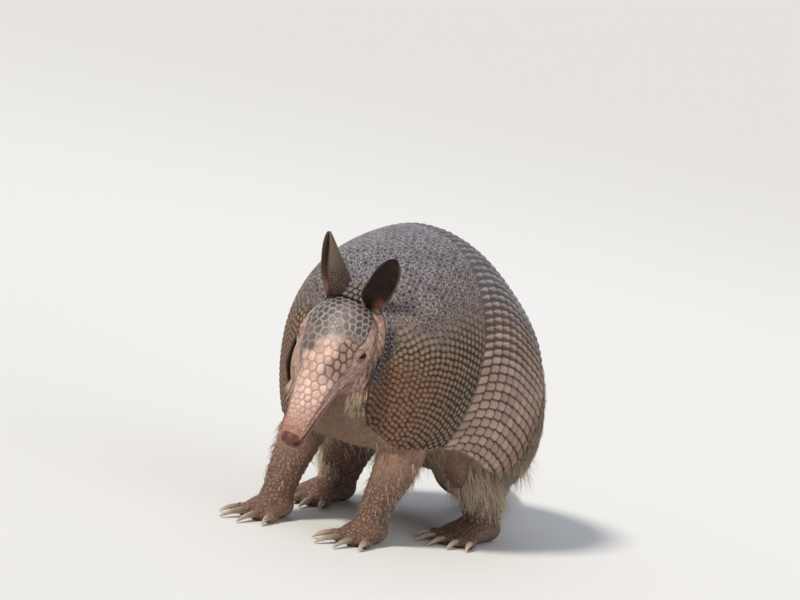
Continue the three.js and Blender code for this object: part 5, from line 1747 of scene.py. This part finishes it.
def bristles(name, roots, ways, length, radius, pale, flat, droop, seed, locks=5):
    """Joined bristles. Each root gives a lock of `locks` bristles. Their points run along
    root + length * (way * share + droop * down * share^2), and their radius falls with share."""
    pick = np.random.default_rng(seed)
    again = np.repeat(np.arange(len(roots)), locks)
    count = len(again)
    own = ways[again] + pick.normal(0, 0.13, (count, 3))
    own /= np.linalg.norm(own, axis=1)[:, None]
    start = roots[again] + pick.normal(0, 0.55, (count, 3)) * (1 - np.abs(ways[again]) * 0.8)
    reach = (length[again] * pick.uniform(0.65, 1.1, count))[:, None, None]
    share = np.linspace(0, 1, 5)[None, :, None]
    sideways = np.cross(own, pick.normal(0, 1, (count, 3)))
    sideways /= np.linalg.norm(sideways, axis=1)[:, None]
    other = np.cross(own, sideways)
    curl = sideways * pick.uniform(-0.18, 0.18, count)[:, None]
    line = start[:, None] + reach * (own[:, None] * share + curl[:, None] * share**2
                                     + np.array((0, 0, -droop)) * share**2)
    turn = np.arange(3) * 2 * np.pi / 3
    thick = radius * (1 - 0.92 * share[..., None])
    rings = line[:, :, None] + thick * (np.cos(turn)[:, None] * sideways[:, None, None]
                                        + np.sin(turn)[:, None] * other[:, None, None])
    rings[..., 2] = np.maximum(rings[..., 2], 0.3)
    index = np.arange(count * 15).reshape(count, 5, 3)
    after = np.roll(index, -1, axis=2)
    quads = np.stack([index[:, :-1], after[:, :-1], after[:, 1:], index[:, 1:]], -1)
    caps = np.concatenate([index[:, 0, ::-1], index[:, -1]])
    place = flat[again][:, None, None] + 0.003 * np.stack(np.broadcast_arrays(
        np.arange(3)[None, None] / 3.0, share[..., 0][..., None] * 0.9), -1)
    place = place.reshape(-1, 2)
    shade = np.clip(pale[again] + pick.normal(0, 0.2, count), 0, 1)
    values = {"pale": np.repeat(shade, 15), "tip": np.tile(np.repeat(share.ravel(), 3), count)}
    faces = [quads.reshape(-1, 4), caps]
    made = make_piece(name, rings.reshape(-1, 3), faces, [place[f] for f in faces], values,
                      slot="skin")
    made.data.materials.append(HAIR)
    return made


def chosen(mask, count, seed):
    """Up to `count` of the skin's points where the mask holds, picked at random."""
    found = np.flatnonzero(mask)
    return np.random.default_rng(seed).choice(found, min(count, len(found)), replace=False)


def leaning(normals, flow, lift):
    """Unit directions along the skin: the flow with its part along the normal taken out, and
    then raised by lift times the normal."""
    flow = np.broadcast_to(np.asarray(flow, float), normals.shape)
    along = flow - normals * (flow * normals).sum(1)[:, None]
    ways = along / np.maximum(np.linalg.norm(along, axis=1), 1e-6)[:, None] + normals * lift
    return ways / np.linalg.norm(ways, axis=1)[:, None]


# %% Hair of the legs, belly and throat
x, y, z = flesh.T
outside = skin_normals[:, 1] * np.sign(y)
hind = (x < -38) & (x > -104) & (np.abs(y) > 16)
places = chosen(hind & (z > 14) & (z < 66) & (outside > -0.5), 800, 1)
high = smooth(z[places], 18, 50)
bristles("hind_leg_hair", flesh[places], leaning(skin_normals[places], (-0.25, 0, -1), 0.28),
         mix(6, 22, high), 0.18, 0.7 + 0.3 * scatter(places, 1.0, 3), skin_unwrap(flesh[places]),
         droop=0.12, seed=2)
front = (x > 2) & (x < 64) & (np.abs(y) > 15)
places = chosen(front & (z > 14) & (z < 58) & (outside > -0.8), 280, 3)
bristles("front_leg_hair", flesh[places], leaning(skin_normals[places], (-0.3, 0, -1), 0.3),
         mix(4, 10, smooth(z[places], 18, 60)), 0.14, 0.2 + 0.5 * scatter(places, 1.0, 4),
         skin_unwrap(flesh[places]), droop=0.12, locks=4, seed=4)
below = (skin_normals[:, 2] < -0.15) & (z > 30) & (np.abs(y) < 52)
places = chosen(below & (x < 44) & (np.cos(x * 2 * np.pi / 9) > 0.3), 260, 5)
bristles("belly_hair", flesh[places], leaning(skin_normals[places], (-1, 0, -0.5), 0.6),
         5 + 5 * scatter(places, 1.0, 5), 0.13, 0.35 + 0.4 * scatter(places, 1.0, 6),
         skin_unwrap(flesh[places]), droop=0.4, locks=4, seed=6)
throat = np.linalg.norm(np.stack([x - 63, np.abs(y) - 20, z - 88], -1), axis=1) < 8
places = chosen(throat, 80, 7)
bristles("throat_hair", flesh[places], leaning(skin_normals[places], (0.3, 0, -1), 0.9),
         3 + 4.5 * scatter(places, 1.0, 7), 0.14, 0.75 + 0.25 * scatter(places, 1.0, 8),
         skin_unwrap(flesh[places]), droop=0.2, seed=8)

# %% [markdown]
# ## Hair of the shell
# The bristles of the shell come out between its scutes. They are thickest over the hips and along
# the lower edge, and they lie backwards and down. The shell's own formula gives their roots and
# directions, so none have to be searched on the mesh.

# %% Hair of the shell
def shell_hair(name, distance, angle, lift, outset, length, pale, seed, locks=4):
    """Bristles at ridge distances and angles. They lean down round the shell and backwards, and
    their unwrap is the shell's own: distance against angle."""
    here = plate_surface(distance, angle, outset)
    down = plate_surface(distance, angle + np.sign(angle) * 2, outset) - here
    back = plate_surface(distance + 2, angle, outset) - here
    out = plate_surface(distance, angle, outset + 2) - here
    down, back, out = (v / np.linalg.norm(v, axis=1)[:, None] for v in (down, back, out))
    ways = down * 0.8 + back * 0.55 + out * lift
    ways /= np.linalg.norm(ways, axis=1)[:, None]
    flat = np.stack([0.02 + 0.9 * distance / RIDGE_AT[-1], 0.5 + angle / 290], -1)
    return bristles(name, here, ways, length, 0.13, pale, flat, 0.1, seed, locks)


pick = np.random.default_rng(12)
for word, side in (("left", 1), ("right", -1)):
    share = pick.uniform(0, 1, 900)
    distance = mix(BANDS_END + 1, PELVIC_REACH - 3, share)
    angle = side * wrap_at(distance) * np.sqrt(pick.uniform(0.2, 0.99, 900))
    low = smooth(np.abs(angle), 45, 85)
    shell_hair(f"hip_hair_{word}", distance, angle, 0.14, 0.2, mix(3, 5.5, low),
               0.1 + 0.45 * pick.uniform(0, 1, 900), 20 + side)
    distance = pick.uniform(6, PELVIC_REACH - 4, 520)
    angle = side * (wrap_at(distance) - pick.uniform(0.5, 4, 520))
    shell_hair(f"edge_hair_{word}", distance, angle, -0.25, -2.4, pick.uniform(4, 9, 520),
               0.3 + 0.5 * pick.uniform(0, 1, 520), 30 + side, 3)

# %% [markdown]
# ## Floor and light
# A plain pale floor carries the animal's shadow. A large soft lamp stands high at the left as the
# camera sees it, and two weaker ones fill the far sides. The world fills the shadows and is seen
# white. A picture of a real sky would light it richly, but tint the colours.

# %% Floor and world
FLOOR_SIZE = 40.0  # metres
# Matt, so that it takes the shadow and mirrors nothing.
FLOOR = material("pale_studio_floor", {"Base Color": colour("ebeae7"), "Roughness": 0.9,
                                       "Specular IOR Level": 0.1})
square = np.array([(-1, -1), (1, -1), (1, 1), (-1, 1)]) * FLOOR_SIZE / 2
floor_mesh = bpy.data.meshes.new("floor")
floor_mesh.from_pydata([(x, y, 0.0) for x, y in square], [], [(0, 1, 2, 3)])
floor_mesh.materials.append(FLOOR)
floor = bpy.data.objects.new("floor", floor_mesh)
bpy.context.collection.objects.link(floor)

world = bpy.data.worlds.new("studio")
world.use_nodes = True
bpy.context.scene.world = world
sky = world.node_tree
sky.nodes.clear()
rays = node(sky, "LightPath").node.outputs
mirrored = node(sky, "Math", (rays["Is Glossy Ray"], rays["Is Transmission Ray"]),
                operation="MAXIMUM")
direct = node(sky, "Math", (rays["Is Camera Ray"], mirrored), operation="MAXIMUM")
white = node(sky, "Background", {"Color": colour("ffffff"), "Strength": 1.0})
fill = node(sky, "Background", {"Color": colour("dfe6f2"), "Strength": 0.42})
both = node(sky, "MixShader", (direct, fill, white))
node(sky, "OutputWorld", {"Surface": both})
print("the world has", len(sky.nodes), "nodes")

# %% Lamps
VIEW_BACK = Vector((0.8666, 0.4802, 0.1356))
VIEW_RIGHT = Vector((-0.4987, 0.8419, 0.2060))
UP = Vector((0, 0, 1))
MIDDLE = Vector(to_row(np.array((0.0, 0.0, 95.0))))
LAMP_AWAY = 2.0  # metres


def lamp(name, kind, toward, strength, size, tint="ffffff"):
    """A lamp that shines from the direction `toward` on the animal's middle. A sun's size is an
    angle in degrees and its strength watts a square metre. An area's are metres and watts."""
    light = bpy.data.lights.new(name, kind)
    light.energy, light.color = strength, colour(tint)[:3]
    if kind == "SUN":
        light.angle = np.radians(size)
    else:
        light.size = size
    made = bpy.data.objects.new(name, light)
    bpy.context.collection.objects.link(made)
    made.location = MIDDLE + Vector(toward).normalized() * LAMP_AWAY
    made.rotation_euler = Vector(toward).to_track_quat("Z", "Y").to_euler()
    print(f"lamp {name}: strength {strength}")


lamp("key", "SUN", VIEW_BACK * 0.8 - VIEW_RIGHT * 0.7 + UP * 1.15, 2.7, 9, "fff8ee")
lamp("fill", "AREA", VIEW_BACK + VIEW_RIGHT * 1.3 + UP * 0.5, 5, 1.6)
lamp("back", "AREA", UP * 1.3 - VIEW_BACK, 5, 1.2, "e6eeff")

# %% [markdown]
# ## Camera
# The camera looks from in front of the animal's left shoulder, slightly from above, and leans to
# one side. A Track To constraint would keep it upright, so its three axes are written out.

# %% Camera
VIEW_UP = Vector((-0.0152, -0.2461, 0.9691))
LENS, SENSOR, AWAY = 233.3, 36, 3.2  # mm, mm and metres
AIM_HIGH, AIM_RIGHT, AIM_UP = 110.0, 6.72, 33.2  # mm over the floor, and mm in the view
aim = Vector(to_row(np.array((0.0, 0.0, AIM_HIGH))))
aim += (VIEW_RIGHT * AIM_RIGHT + VIEW_UP * AIM_UP) * 0.001
camera_data = bpy.data.cameras.new("camera")
camera_data.lens, camera_data.sensor_width = LENS, SENSOR
camera_data.clip_end = 100
camera = bpy.data.objects.new("camera", camera_data)
bpy.context.collection.objects.link(camera)
camera.location = aim + VIEW_BACK * AWAY
axes = np.array([VIEW_RIGHT, VIEW_UP, VIEW_BACK]).T
camera.rotation_euler = Matrix(axes.tolist()).to_euler()
bpy.context.scene.camera = camera
bpy.context.scene.view_settings.view_transform = "Standard"
print("camera", round(camera.location.z, 3), "m above the floor")
